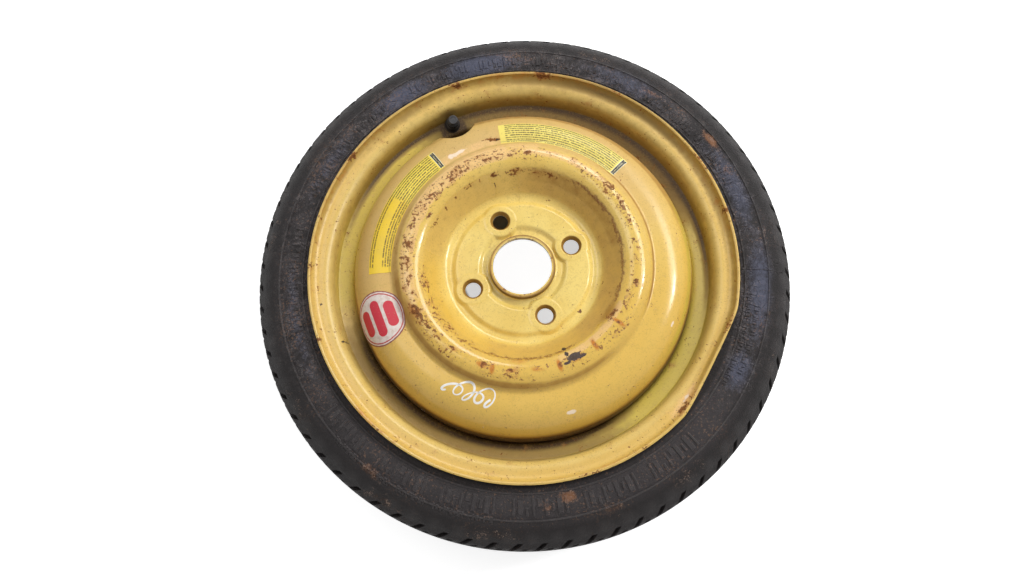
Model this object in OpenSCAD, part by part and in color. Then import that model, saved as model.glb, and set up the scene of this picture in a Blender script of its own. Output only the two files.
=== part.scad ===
// Temporary spare wheel: a narrow tyre on a pressed steel wheel with a domed disc.
// The wheel lies flat. Its axis is Z, +Z points to the street side of a fitted wheel,
// and z = 0 is the plane of the disc that bolts against the hub.

/* [Rim] */
// Radius of the rim where the tyre's beads sit, at the flange
seat_r = 177.4; // [176:0.1:179]
// Half the width between the two flanges
rim_half_w = 50.8; // [49:0.1:53]
// Outer radius of the rolled lips
lip_r = 194.5; // [193:0.1:197]
// Bend radius of the rolled lips
lip_bend = 9.5; // [8:0.1:10]
// Straight edge of a lip past its bend
lip_edge = 0.8; // [0.5:0.1:2]
// Bend radius between a flange and its bead seat
heel_bend = 6.5; // [5:0.1:7]
// Width of a bead seat
seat_w = 19.3; // [18:0.1:22]
// Taper of the bead seats, in degrees
seat_taper = 5; // [3:0.5:6]
// Outer radius of the well
well_r = 160.1; // [159:0.1:162]
// Tilt of the well's outboard side from the radial plane, in degrees
well_side_tilt = 19; // [16:0.5:21]
// Bend radius of the well's outboard corners
well_bend = 3.5; // [3:0.1:4]
// Height of the well's inboard corner below the rim's mid-plane
well_in_z = 2; // [0:0.5:6]
// Sheet thickness of the rim
rim_t = 2.4; // [2:0.1:2.8]
// Distance from the rim's mid-plane out to the hub face
hub_offset = 39; // [36:0.5:42]

/* [Disc] */
// Sheet thickness of the disc
disc_t = 2.9; // [2.5:0.1:3.2]
// Diameter of the centre bore
bore_d = 54.1; // [52:0.1:57]
// Height of the collar round the bore, above the hub face
collar_h = 10; // [9:0.1:12]
// Bend radius at the foot of the collar
collar_bend = 3; // [2.5:0.1:4]
// Inner radius of the raised ring that carries the bolts
pad_in_r = 40; // [38:0.1:41]
// Outer radius of the raised ring
pad_out_r = 62; // [60:0.1:63]
// Height of the raised ring above the flat of the disc
pad_h = 3; // [2:0.1:4]
// Height of the round bosses above the raised ring
boss_up = 0.3; // [0.2:0.1:0.6]
// Radius of the round boss at each bolt
boss_r = 15.5; // [14:0.1:16]
// Radius where the wall of the bowl leaves the flat
bowl_foot_r = 71.4; // [70:0.1:73]
// Bend radius at the foot of the bowl
bowl_bend = 8; // [5:0.5:10]
// Radius of the corner that the crest rounds off
crest_r = 101; // [99:0.1:103]
// Height of that corner above the hub face
crest_z = 40.3; // [37:0.1:42]
// Bend radius of the crest
crest_bend = 17.6; // [14:0.1:18]
// Radius of the crease between crest and dome
crease_r = 118.5; // [117:0.1:120]
// Height of the crease
crease_z = 22.3; // [21:0.1:23]
// Bend radius of the crease
crease_bend = 4; // [3:0.5:5]
// Height of the dome's outer corner
dome_z = 23.2; // [22:0.1:25]
// Bend radius of the dome's shoulder
dome_bend = 30; // [24:0.5:32]
// Length of the skirt below the hub face, down to its rear edge
skirt_l = 36; // [32:0.5:40]
// Radius of the scoop that leaves room for the valve
scoop_r = 18.6; // [17:0.1:20]
// Distance of the scoop's middle from the wheel's axis
scoop_at = 158; // [156:0.5:160]

/* [Bolts] */
// Number of bolts
bolt_n = 4; // [4, 5]
// Diameter of the bolt circle
bolt_pcd = 100; // [98:0.5:102]
// Diameter of a bolt hole
bolt_hole_d = 14.5; // [13:0.1:15]
// Outer diameter of a conical nut seat
seat_d = 19; // [18:0.1:20]
// Full angle of the conical nut seats
seat_cone = 60; // [60:5:90]
// Width of the metal round a nut seat, behind the disc
seat_wall = 2.2; // [1.5:0.1:3]

/* [Welds] */
// Number of weld beads between disc and rim
weld_n = 8; // [6:1:10]
// Length of a weld bead, in degrees
weld_arc = 14; // [10:1:20]
// Leg of a weld bead
weld_leg = 4; // [3:0.1:5]

/* [Tyre] */
// Outer diameter of the tyre
tyre_d = 503; // [500:0.5:506]
// Widest section of the tyre
section_w = 105; // [103:0.5:107]
// Radius of the tread's outer corner
shoulder_r = 247.8; // [246:0.1:248.5]
// Distance of the tread's outer corner from the mid-plane
shoulder_z = 34.5; // [33:0.5:37]
// Distance of a bead's toe from the mid-plane
toe_z = 33.5; // [32:0.5:36]
// Thickness of the sidewalls
side_t = 7.5; // [6:0.5:9]
// Thickness of the tread
tread_t = 10.5; // [9:0.5:13]
// Number of grooves round the tread
groove_n = 3; // [2:1:4]
// Distance between two grooves
groove_pitch = 16; // [15:0.5:17]
// Width of a groove
groove_w = 4.5; // [3:0.5:6]
// Depth of a groove
groove_depth = 4; // [2:0.5:5]
// Number of slots along each shoulder
slot_n = 72; // [36:1:80]
// Length of a slot
slot_l = 14; // [10:0.5:16]
// Width of a slot
slot_w = 3.2; // [2:0.1:4]
// Depth of a slot
slot_depth = 3.5; // [2:0.5:4.5]
// Slant of the slots from straight across, in degrees
slot_slant = 42; // [20:1:50]

/* [Valve] */
// Direction of the valve and of the first bolt, in degrees from +X
valve_angle = 112.9; // [100:0.1:125]
// Distance of the valve hole's middle from the wheel's axis
valve_at = 168.4; // [167:0.1:169]
// Diameter of the valve hole
valve_hole_d = 11.3; // [11:0.1:12]
// Diameter of the grommet's collar outside the rim
collar_d = 15.2; // [14:0.1:16]
// Diameter of the grommet's flange inside the rim
flange_d = 19; // [17:0.5:20]
// Height of the grommet above the rim
grommet_h = 14.4; // [12:0.1:14.8]
// Diameter of the stem's thread
stem_d = 7.7; // [7:0.1:8]
// Height of the stem above the rim
stem_h = 24.4; // [23:0.1:25]
// Length of the stem's threaded end
thread_l = 9; // [8:0.1:9.2]
// Rise of the cap for one turn
thread_pitch = 0.794; // [0.7:0.01:0.9]
// Diameter of the stem's mouth
mouth_d = 5.3; // [5:0.1:5.6]

/* [Valve core] */
// Length of the threaded plug
plug_l = 4.6; // [4:0.1:5]
// Depth of the plug below the stem's mouth
plug_in = 1.4; // [1:0.1:2]
// Outer diameter of the barrel
barrel_d = 3.6; // [3.4:0.1:3.8]
// Length of the barrel
barrel_l = 9; // [8:0.1:10]
// Wall of the barrel
barrel_t = 0.4; // [0.3:0.05:0.5]
// Diameter of the pin
pin_d = 0.9; // [0.8:0.05:1]
// Depth of the pin's head below the stem's mouth
pin_in = 0.6; // [0.4:0.1:1]
// Travel of the pin when it is pressed
pin_travel = 1.2; // [0.8:0.1:1.5]
// Diameter of the cup that closes the barrel
cup_d = 3; // [2.8:0.1:3.1]
// Turns of the core's spring
spring_turns = 7; // [5:1:9]
// Wire diameter of the spring
wire_d = 0.3; // [0.25:0.05:0.35]

/* [Valve cap] */
// Diameter of the cap's ribbed skirt
cap_d = 10.6; // [10.4:0.1:11.5]
// Diameter of the cap's top
cap_top_d = 8.4; // [8:0.1:9]
// Height of the cap
cap_h = 12; // [11.5:0.1:12.5]
// Thickness of the cap's top
cap_top_t = 1.6; // [1.3:0.1:2]
// Number of grip ribs on the cap
cap_ribs = 20; // [12:1:24]
// Thickness of the seal in the cap
cap_seal_t = 1; // [0.8:0.1:1.2]

/* [Labels] */
// Thickness of the labels
film_t = 0.2; // [0.15:0.05:0.3]
// Inner radius of the two long labels
label_in_r = 121.2; // [120.8:0.1:123]
// Outer radius of the two long labels
label_out_r = 138.8; // [136:0.1:141]
// Start of the top label, in degrees from +X
top_label_from = 43; // [35:0.5:50]
// Sweep of the top label, in degrees
top_label_arc = 55; // [40:0.5:60]
// Start of the left label, in degrees from +X
left_label_from = 126; // [124:0.5:130]
// Sweep of the left label, in degrees
left_label_arc = 57; // [40:0.5:59]
// Direction of the round sticker's middle, in degrees from +X
sticker_angle = 200.5; // [198:0.5:240]
// Distance of the round sticker's middle from the wheel's axis
sticker_at = 138; // [136:0.5:139]
// Diameter of the round sticker
sticker_d = 50; // [44:0.5:52]

/* [Clearances] */
// Gap between pieces that sit firmly on each other
seat_gap = 0.05; // [0.02:0.01:0.1]
// Gap between the tyre's beads and the rim
bead_gap = 0.1; // [0.05:0.05:0.2]
// Gap all round a piece that slides or turns on another
slide_gap = 0.1; // [0.05:0.01:0.15]

/* [Hidden] */
$fn = 96;
// Largest turn of a bend between two points of its arc, in degrees
bend_step = 8;
mid_z = -hub_offset;

// Direction of a vector, and the angle by which v is turned from u
function unit(v) = v / norm(v);
function turn_to(u, v) = atan2(u[0] * v[1] - u[1] * v[0], u * v);

// A point p of a straight from a to b, as [x, z, normal_x, normal_z]
function end_point(p, a, b) =
    let (u = unit([b[0] - a[0], b[1] - a[1]])) [p[0], p[1], -u[1], u[0]];

// The arc that rounds the corner b = [x, z, radius] between a and c
function corner_bend(a, b, c) =
    let (u = unit([b[0] - a[0], b[1] - a[1]]),
         v = unit([c[0] - b[0], c[1] - b[1]]),
         turn = turn_to(u, v),
         w = atan2(u[1], u[0]),
         r = -sign(turn) * b[2],
         start = [b[0], b[1]] - b[2] * tan(abs(turn) / 2) * u,
         centre = start - r * [-sin(w), cos(w)],
         n = max(1, ceil(abs(turn) / bend_step)))
    [for (i = [0:n]) let (s = w + turn * i / n)
        [centre[0] - r * sin(s), centre[1] + r * cos(s), -sin(s), cos(s)]];

// A bent line through corners [x, z, radius], as points with their normals
function bent_line(k) = concat(
    [end_point(k[0], k[0], k[1])],
    [for (i = [1:len(k) - 2]) each corner_bend(k[i - 1], k[i], k[i + 1])],
    [end_point(k[len(k) - 1], k[len(k) - 2], k[len(k) - 1])]);

// The line moved along its normals, and the sheet between two such lines
function shifted(line, by) = [for (p = line) [p[0] + by * p[2], p[1] + by * p[3]]];
function reversed(list) = [for (i = [len(list) - 1:-1:0]) list[i]];
function sheet(line, near, far) = concat(shifted(line, near), reversed(shifted(line, far)));

// Corners of half a section with their mirror images across the mid-plane, moved to it
function both_halves(k) = concat(
    [for (p = k) [p[0], mid_z + p[1], p[2]]],
    [for (i = [len(k) - 2:-1:0]) [k[i][0], mid_z - k[i][1], k[i][2]]]);

// Radius of a bead seat at a distance z from the mid-plane
function seat_at(z) = seat_r - (rim_half_w - z) * tan(seat_taper);

// The rim's tyre side, from the outboard lip to the inboard lip
lip_z = rim_half_w + lip_bend + lip_edge;
seat_end_z = rim_half_w - seat_w;
seat_end_r = seat_at(seat_end_z);
well_out_z = seat_end_z - (seat_end_r - well_r) * tan(well_side_tilt);
rim_corners = [
    [lip_r, mid_z + lip_z, 0],
    [lip_r, mid_z + rim_half_w, lip_bend],
    [seat_r, mid_z + rim_half_w, heel_bend],
    [seat_end_r, mid_z + seat_end_z, well_bend],
    [well_r, mid_z + well_out_z, well_bend],
    [well_r, mid_z - well_in_z, 12],
    [seat_end_r, mid_z - seat_end_z, 10],
    [seat_r, mid_z - rim_half_w, heel_bend],
    [lip_r, mid_z - rim_half_w, lip_bend],
    [lip_r, mid_z - lip_z, 0]];

// The disc's street side, from the collar's top to the skirt's rear edge
skirt_r = well_r - rim_t - seat_gap;
collar_out_r = bore_d / 2 + disc_t;
disc_corners = [
    [collar_out_r, collar_h, 0],
    [collar_out_r, disc_t, collar_bend],
    [bowl_foot_r, disc_t, bowl_bend],
    [crest_r, crest_z, crest_bend],
    [crease_r, crease_z, crease_bend],
    [skirt_r, dome_z, dome_bend],
    [skirt_r, -skirt_l, 0]];
disc_line = bent_line(disc_corners);

// The valve stands square on the well's outboard side; zero is the rim's street side there
valve_z = mid_z + seat_end_z - (seat_end_r - valve_at) * tan(well_side_tilt) + rim_t / cos(well_side_tilt);
foot_r = 3.2;
stem_foot = 9;
cap_foot = stem_h + cap_seal_t + cap_top_t - cap_h;
plug_top = stem_h - plug_in;
barrel_top = plug_top - plug_l;
barrel_foot = barrel_top - barrel_l;
pin_top = stem_h - pin_in;
collar_top = barrel_top - 0.6;
spring_foot = barrel_foot + 2 * barrel_t;
spring_top = collar_top - barrel_t;

module turned(points) { rotate_extrude($fn = 240) polygon(points); }

module at_valve() {
    rotate([0, 0, valve_angle]) translate([valve_at, 0, valve_z]) rotate([0, -well_side_tilt, 0]) children();
}

module rim() {
    color("goldenrod")
    difference() {
        turned(sheet(bent_line(rim_corners), 0, -rim_t));
        at_valve() cylinder(d = valve_hole_d, h = 20, center = true, $fn = 48);
    }
}

// A raised ring with a round boss at each bolt, with its sides drawn in by inset
module bolt_pads(low, high, inset) {
    side = 1.5;
    turned([[pad_in_r - side + inset, low], [pad_in_r + inset, high],
            [pad_out_r - inset, high], [pad_out_r + side - inset, low]]);
    at_bolts() translate([0, 0, low])
        cylinder(r1 = boss_r + side - inset, r2 = boss_r - inset, h = high + boss_up - low);
}

module at_bolts() {
    for (i = [0:bolt_n - 1])
        rotate([0, 0, valve_angle + 360 * i / bolt_n]) translate([bolt_pcd / 2, 0, 0]) children();
}

module wheel_disc() {
    top = disc_t + pad_h + boss_up;
    land_z = top - (seat_d - bolt_hole_d) / 2 / tan(seat_cone / 2);
    under_street_side = concat(shifted(disc_line, 0), [[collar_out_r, -skirt_l]]);
    color("goldenrod")
    difference() {
        union() {
            difference() {
                union() {
                    turned(sheet(disc_line, 0, -disc_t));
                    bolt_pads(disc_t / 2, disc_t + pad_h, 0);
                    intersection() {
                        turned(under_street_side);
                        at_scoop() cylinder(r = scoop_r + disc_t, h = 100, center = true);
                    }
                }
                bolt_pads(-0.01, pad_h, 0.6 * disc_t);
                at_scoop() cylinder(r = scoop_r, h = 200, center = true);
            }
            at_bolts() translate([0, 0, 0.5]) cylinder(d = seat_d + 2 * seat_wall, h = top - 0.5);
        }
        at_bolts() {
            cylinder(d = bolt_hole_d, h = 3 * top, center = true);
            translate([0, 0, land_z])
                cylinder(d1 = bolt_hole_d, d2 = seat_d, h = top - land_z);
        }
    }
}

module at_scoop() {
    rotate([0, 0, valve_angle]) translate([scoop_at, 0, 0]) children();
}

// One fillet weld behind the skirt's rear edge, repeated round the well
module weld_beads() {
    color("darkgoldenrod")
    for (i = [0:weld_n - 1])
        rotate([0, 0, valve_angle + 360 * (i + 0.5) / weld_n - weld_arc / 2])
            rotate_extrude(angle = weld_arc, $fn = 240)
                polygon([[skirt_r - disc_t, -skirt_l - seat_gap], [skirt_r, -skirt_l - seat_gap],
                         [skirt_r, -skirt_l - weld_leg], [skirt_r - 0.4 * weld_leg, -skirt_l - 0.75 * weld_leg],
                         [skirt_r - disc_t, -skirt_l - 0.2 * weld_leg]]);
}

module tyre() {
    half_w = rim_half_w - bead_gap;
    base_r = seat_r + bead_gap;
    outside = [
        [seat_at(toe_z) + bead_gap, toe_z, 0],
        [base_r, half_w, heel_bend + 0.6],
        [base_r + 13.5, half_w, 12],
        [213, section_w / 2 + 0.5, 25],
        [236, 45.5, 30],
        [shoulder_r, shoulder_z, 9],
        [tyre_d / 2 + 0.8, 0, 200]];
    inside = [
        [seat_at(toe_z) + bead_gap + 2, toe_z - 1, 0],
        [seat_r + 7, toe_z + 2, 5],
        [195, section_w / 2 - side_t - 1.2, 20],
        [214, section_w / 2 - side_t + 0.5, 18],
        [234, 46 - side_t - 1, 14],
        [shoulder_r - tread_t + 1, shoulder_z - tread_t + 1, 8],
        [tyre_d / 2 - tread_t, 0, 150]];
    section = concat(shifted(bent_line(both_halves(outside)), 0),
                     reversed(shifted(bent_line(both_halves(inside)), 0)));
    color("dimgray")
    difference() {
        turned(section);
        tread_grooves();
        for (side = [-1, 1]) translate([0, 0, mid_z]) scale([1, side, side]) shoulder_slots();
    }
}

module tread_grooves() {
    for (i = [0:groove_n - 1]) {
        z = mid_z + groove_pitch * (i - (groove_n - 1) / 2);
        floor_r = tyre_d / 2 - groove_depth - abs(z - mid_z) * 0.06;
        turned([[floor_r, z - groove_w / 2 + 0.8], [floor_r, z + groove_w / 2 - 0.8],
                [tyre_d / 2 + 5, z + groove_w / 2 + 0.8], [tyre_d / 2 + 5, z - groove_w / 2 - 0.8]]);
    }
}

// Slanted slots across one shoulder, a long one and a short one in turn
module shoulder_slots() {
    for (i = [0:slot_n - 1]) {
        rotate([0, 0, 360 * i / slot_n])
            shoulder_cut(slot_l, shoulder_r - 1.6, shoulder_z + 1.6);
        rotate([0, 0, 360 * (i + 0.5) / slot_n])
            shoulder_cut(slot_l * 0.55, shoulder_r + 0.4, shoulder_z - 2.4);
    }
}

module shoulder_cut(l, r, z) {
    translate([r, 0, z]) rotate([0, -38, 0]) rotate([slot_slant, 0, 0])
        cube([2 * slot_depth, slot_w, l], center = true);
}

// The rubber body, moulded round the stem and squeezed against the rim's sheet
module valve_grommet() {
    neck_r = valve_hole_d / 2 - seat_gap;
    top_r = cap_d / 2;
    color("black")
    difference() {
        at_valve() rotate_extrude($fn = 64) polygon([
            [foot_r, -stem_foot], [6, -stem_foot], [flange_d / 2 - 1, -6], [flange_d / 2, -5],
            [flange_d / 2, 0.2 - rim_t], [neck_r, 0.2 - rim_t], [neck_r, -0.2], [collar_d / 2, -0.2],
            [collar_d / 2, 3], [collar_d / 2 - 0.5, 4.5], [collar_d / 2 - 1.6, 6.5],
            [top_r + 0.3, grommet_h - 0.6], [top_r - 0.3, grommet_h], [foot_r, grommet_h]]);
        difference() {
            rotate([0, 0, valve_angle - 8])
                rotate_extrude(angle = 16, $fn = 240)
                    polygon(sheet(bent_line(rim_corners), seat_gap, -rim_t - seat_gap));
            at_valve() cylinder(r = neck_r, h = 20, center = true, $fn = 64);
        }
    }
}

module valve_stem() {
    bore_r = barrel_d / 2 + slide_gap;
    color("darkgray")
    at_valve() rotate_extrude($fn = 64) polygon([
        [bore_r, -stem_foot], [foot_r, -stem_foot], [foot_r, stem_h - thread_l],
        [stem_d / 2, stem_h - thread_l + 0.4],
        [stem_d / 2, stem_h - 0.4], [stem_d / 2 - 0.4, stem_h], [mouth_d / 2, stem_h],
        [mouth_d / 2, barrel_top - 0.1], [bore_r, barrel_top - 1.6]]);
}

module core_plug() {
    color("gold")
    at_valve() difference() {
        translate([0, 0, barrel_top]) cylinder(r = mouth_d / 2 - seat_gap, h = plug_l, $fn = 48);
        cylinder(d = pin_d + 2 * slide_gap, h = 2 * stem_h, $fn = 32);
        for (side = [-1, 1]) translate([side * mouth_d / 2, 0, plug_top])
            cube([mouth_d * 0.56, mouth_d, 3], center = true);
    }
}

module core_barrel() {
    in_r = barrel_d / 2 - barrel_t;
    hole_r = pin_d / 2 + slide_gap;
    color("gold")
    at_valve() rotate_extrude($fn = 48) polygon([
        [hole_r, barrel_foot], [barrel_d / 2, barrel_foot], [barrel_d / 2, barrel_top],
        [in_r, barrel_top], [in_r, spring_foot], [hole_r, spring_foot]]);
}

// The soft ring that seals the barrel in the stem's tapered seat
module core_gasket() {
    top = barrel_top - 0.1;
    color("white")
    at_valve() rotate_extrude($fn = 48) polygon([
        [barrel_d / 2 + 0.02, top - 1.2], [barrel_d / 2 + 0.12, top - 1.2],
        [mouth_d / 2 - 0.15, top - 0.1], [barrel_d / 2 + 0.02, top - 0.1]]);
}

module core_pin() {
    cup_top = barrel_foot - 0.8;
    color("gold")
    at_valve() union() {
        translate([0, 0, cup_top - 0.5]) cylinder(d = pin_d, h = pin_top - cup_top + 0.5, $fn = 32);
        translate([0, 0, spring_top + 0.02])
            cylinder(r = barrel_d / 2 - barrel_t - slide_gap, h = barrel_t, $fn = 32);
    }
}

module core_cup() {
    cup_top = barrel_foot - 0.8;
    color("gold")
    at_valve() rotate_extrude($fn = 48) polygon([
        [pin_d / 2, cup_top - 0.5], [cup_d / 2, cup_top - 0.5], [cup_d / 2, cup_top + 0.5],
        [cup_d / 2 - 0.25, cup_top + 0.5], [cup_d / 2 - 0.25, cup_top], [pin_d / 2, cup_top]]);
}

module cup_gasket() {
    cup_top = barrel_foot - 0.8;
    color("black")
    at_valve() translate([0, 0, cup_top]) difference() {
        cylinder(d = cup_d - 0.5, h = 0.78, $fn = 48);
        cylinder(d = pin_d, h = 3, center = true, $fn = 32);
    }
}

// A round wire swept along a helix, with closed ends
module core_spring() {
    coil_r = barrel_d / 2 - barrel_t - slide_gap - wire_d / 2;
    sides = 6;
    steps = spring_turns * 12;
    low = spring_foot + wire_d / 2 + 0.02;
    high = spring_top - wire_d / 2;
    points = [for (i = [0:steps], j = [0:sides - 1])
        let (a = 360 * spring_turns * i / steps,
             b = 360 * j / sides,
             r = coil_r + wire_d / 2 * cos(b))
        [r * cos(a), r * sin(a), low + (high - low) * i / steps + wire_d / 2 * sin(b)]];
    walls = [for (i = [0:steps - 1], j = [0:sides - 1])
        let (a = i * sides + j, b = i * sides + (j + 1) % sides)
        each [[a, b, b + sides], [a, b + sides, a + sides]]];
    ends = [[for (j = [sides - 1:-1:0]) j], [for (j = [0:sides - 1]) steps * sides + j]];
    color("silver") at_valve() polyhedron(points, concat(walls, ends), convexity = 10);
}

module valve_cap() {
    in_r = stem_d / 2 + slide_gap;
    top = cap_foot + cap_h;
    color("black")
    at_valve() union() {
        rotate_extrude($fn = 64) polygon([
            [in_r, cap_foot], [cap_d / 2 - 0.5, cap_foot], [cap_d / 2 - 0.5, cap_foot + 7],
            [cap_top_d / 2 + 0.3, top - 1.2], [cap_top_d / 2, top - 0.3], [cap_top_d / 2 - 0.4, top],
            [cap_top_d / 2 - 1.2, top], [cap_top_d / 2 - 1.8, top - 0.5], [0, top - 0.5],
            [0, top - cap_top_t], [in_r, top - cap_top_t]]);
        for (i = [0:cap_ribs - 1]) rotate([0, 0, 360 * i / cap_ribs])
            translate([cap_d / 2 - 0.55, 0, cap_foot + 0.5]) cylinder(r = 0.55, h = 6.2, $fn = 16);
    }
}

module cap_seal() {
    color("dimgray")
    at_valve() translate([0, 0, stem_h])
        cylinder(r = stem_d / 2 + slide_gap - seat_gap, h = cap_seal_t - seat_gap, $fn = 48);
}

// A thin film on the disc's street side, over all its radii and a sweep of angles
module film(from, sweep) {
    rotate([0, 0, from]) rotate_extrude(angle = sweep, $fn = 240) polygon(sheet(disc_line, film_t, 0));
}

module long_label(from, sweep) {
    intersection() {
        film(from, sweep);
        difference() {
            cylinder(r = label_out_r, h = 100, $fn = 240);
            cylinder(r = label_in_r, h = 300, center = true, $fn = 240);
        }
    }
}

module top_label() { color("gold") long_label(top_label_from, top_label_arc); }

module left_label() { color("gold") long_label(left_label_from, left_label_arc); }

module round_sticker() {
    dome_r = skirt_r - dome_bend;
    lean = asin((sticker_at - dome_r) / dome_bend);
    color("white")
    intersection() {
        film(sticker_angle - 14, 28);
        rotate([0, 0, sticker_angle]) translate([dome_r, 0, dome_z - dome_bend])
            rotate([0, lean, 0]) cylinder(d = sticker_d, h = 60, $fn = 96);
    }
}

tyre();
rim();
wheel_disc();
weld_beads();
valve_grommet();
valve_stem();
core_plug();
core_barrel();
core_gasket();
core_pin();
core_cup();
cup_gasket();
core_spring();
valve_cap();
cap_seal();
top_label();
left_label();
round_sticker();
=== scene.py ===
"""The look of a narrow temporary spare wheel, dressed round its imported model.

Lengths are in millimetres until a mesh is made. The wheel's axis is Z, and z = 0 is the disc's hub
face. Angles are in degrees, from +X towards +Y. A section is a line of points [radius, height,
heading], and the outside of its piece is on the line's left.
"""

import math

import bpy
import numpy as np
from mathutils import Matrix


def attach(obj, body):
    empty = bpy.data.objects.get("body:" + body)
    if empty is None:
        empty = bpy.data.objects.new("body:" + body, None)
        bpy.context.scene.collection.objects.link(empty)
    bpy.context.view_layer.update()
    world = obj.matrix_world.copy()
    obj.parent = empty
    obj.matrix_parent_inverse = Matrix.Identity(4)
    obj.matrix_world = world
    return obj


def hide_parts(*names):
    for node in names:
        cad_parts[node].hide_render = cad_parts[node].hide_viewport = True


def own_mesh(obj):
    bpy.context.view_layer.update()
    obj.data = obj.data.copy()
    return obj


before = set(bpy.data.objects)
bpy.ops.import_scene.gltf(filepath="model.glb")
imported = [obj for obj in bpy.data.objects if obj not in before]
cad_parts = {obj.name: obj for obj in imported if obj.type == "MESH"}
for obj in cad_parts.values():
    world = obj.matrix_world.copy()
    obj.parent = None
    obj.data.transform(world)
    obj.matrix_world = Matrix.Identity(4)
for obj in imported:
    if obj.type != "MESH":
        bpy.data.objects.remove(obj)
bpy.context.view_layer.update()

MM = 0.001

# The corners of the section lines: radius, height and the bend that rounds the corner.
RIM_SHEET = 2.4
RIM_CORNERS = [
    [194.5, 22.1, 0], [194.5, 11.8, 9.5], [177.4, 11.8, 6.5], [175.711, -7.5, 3.5],
    [160.1, -12.875, 3.5], [160.1, -41, 12], [175.711, -70.5, 10], [177.4, -89.8, 6.5],
    [194.5, -89.8, 9.5], [194.5, -100.1, 0]]
DISC_SHEET = 2.9
DISC_CORNERS = [
    [29.95, 10, 0], [29.95, 2.9, 3], [71.4, 2.9, 8], [101, 40.3, 17.6], [118.5, 22.3, 4],
    [157.65, 23.2, 30], [157.65, -36, 0]]
# The tyre's corners stand over its mid-plane, for one half that the other half mirrors.
MIDDLE = -39.0
TYRE_OUTSIDE = [
    [175.99, 33.5, 0], [177.5, 50.7, 7.1], [191, 50.7, 12], [213, 53, 25], [236, 45.5, 30],
    [247.8, 34.5, 9], [252.3, 0, 200]]
TYRE_INSIDE = [
    [177.99, 32.5, 0], [184.4, 35.5, 5], [195, 43.8, 20], [214, 45.5, 18], [234, 37.5, 14],
    [238.3, 25, 8], [241, 0, 150]]
FLOOR_Z = -100.1

# The bolt holes and the valve share one direction.
VALVE_ANGLE = 112.9
BOLT_ANGLES = [VALVE_ANGLE + 90 * quarter for quarter in range(4)]
BOLT_CIRCLE = 50.0
HOLE_R = 7.25
# The valve's axis leans in from upright and passes through this point, at the stem's foot.
VALVE_LEAN = 19.0
VALVE_POINT = np.array([-62.437, 147.810, 15.591])
SCOOP_CENTRE = 158.0

# The sky's level as a light, where white is 1, and how far the floor is lifted: round the wheel, and
# where it shows through the hub.
SKY_LIGHT = 0.3
FLOOR_LIFT = 0.74
HUB_LIFT = 0.95


# Camera and lamps.

def turn(axis, degrees):
    """The 3 x 3 matrix of a turn round one axis."""
    return np.array(Matrix.Rotation(math.radians(degrees), 3, axis))


def photo_camera():
    """The camera of the photograph: it looks at the wheel from 72.6 degrees above the floor, and is
    then turned a little to where the wheel stands in the picture."""
    elevation = math.radians(72.61)
    distance = 664.8
    aim = np.array([0, 0, 6.0])
    roll, swing, tilt = -1.82, 0.88, 1.65
    focal_share = 720 / 1024
    back = np.array([0, -math.cos(elevation), math.sin(elevation)])
    right = np.array([1.0, 0, 0])
    looking = np.array([right, np.cross(-back, right), -back])
    rows = turn("Z", roll) @ turn("Y", swing) @ turn("X", tilt) @ looking
    data = bpy.data.cameras.new("photo_camera")
    data.sensor_width = 36
    data.lens = focal_share * data.sensor_width
    camera = bpy.data.objects.new("photo_camera", data)
    place = np.eye(4)
    place[:3, :3] = np.array([rows[0], -rows[1], -rows[2]]).T
    place[:3, 3] = (distance * back + aim) * MM
    camera.matrix_world = Matrix(place.tolist())
    bpy.context.scene.collection.objects.link(camera)
    bpy.context.scene.camera = camera


def soft_lamp(name, azimuth, elevation, distance, wide, tall, power):
    """An oval lamp in metres and watts that faces the wheel from an azimuth and an elevation."""
    data = bpy.data.lights.new(name, "AREA")
    data.shape = "ELLIPSE"
    data.size = wide
    data.size_y = tall
    data.energy = power
    lamp = bpy.data.objects.new(name, data)
    bearing = Matrix.Rotation(math.radians(azimuth + 90), 4, "Z")
    lift = Matrix.Rotation(math.radians(90 - elevation), 4, "X")
    lamp.matrix_world = bearing @ lift @ Matrix.Translation((0, 0, distance))
    bpy.context.scene.collection.objects.link(lamp)


# Materials from expressions.

class Wire:
    """A socket of a graph; an expression on it adds Math nodes."""

    def __init__(self, graph, socket):
        self.graph = graph
        self.socket = socket

    def math(self, operation, *values):
        return self.graph.node("ShaderNodeMath", {"operation": operation}, dict(enumerate(values)))

    def __add__(self, other):
        return self.math("ADD", self, other)

    def __sub__(self, other):
        return self.math("SUBTRACT", self, other)

    def __rsub__(self, other):
        return self.math("SUBTRACT", other, self)

    def __mul__(self, other):
        return self.math("MULTIPLY", self, other)

    __radd__ = __add__
    __rmul__ = __mul__

    def larger(self, other):
        return self.math("MAXIMUM", self, other)

    def unsigned(self):
        return self.math("ABSOLUTE", self)

    def root(self):
        return self.math("SQRT", self)

    def whole(self):
        return self.math("FLOOR", self)

    def fraction(self):
        return self.math("FRACT", self)


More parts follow.
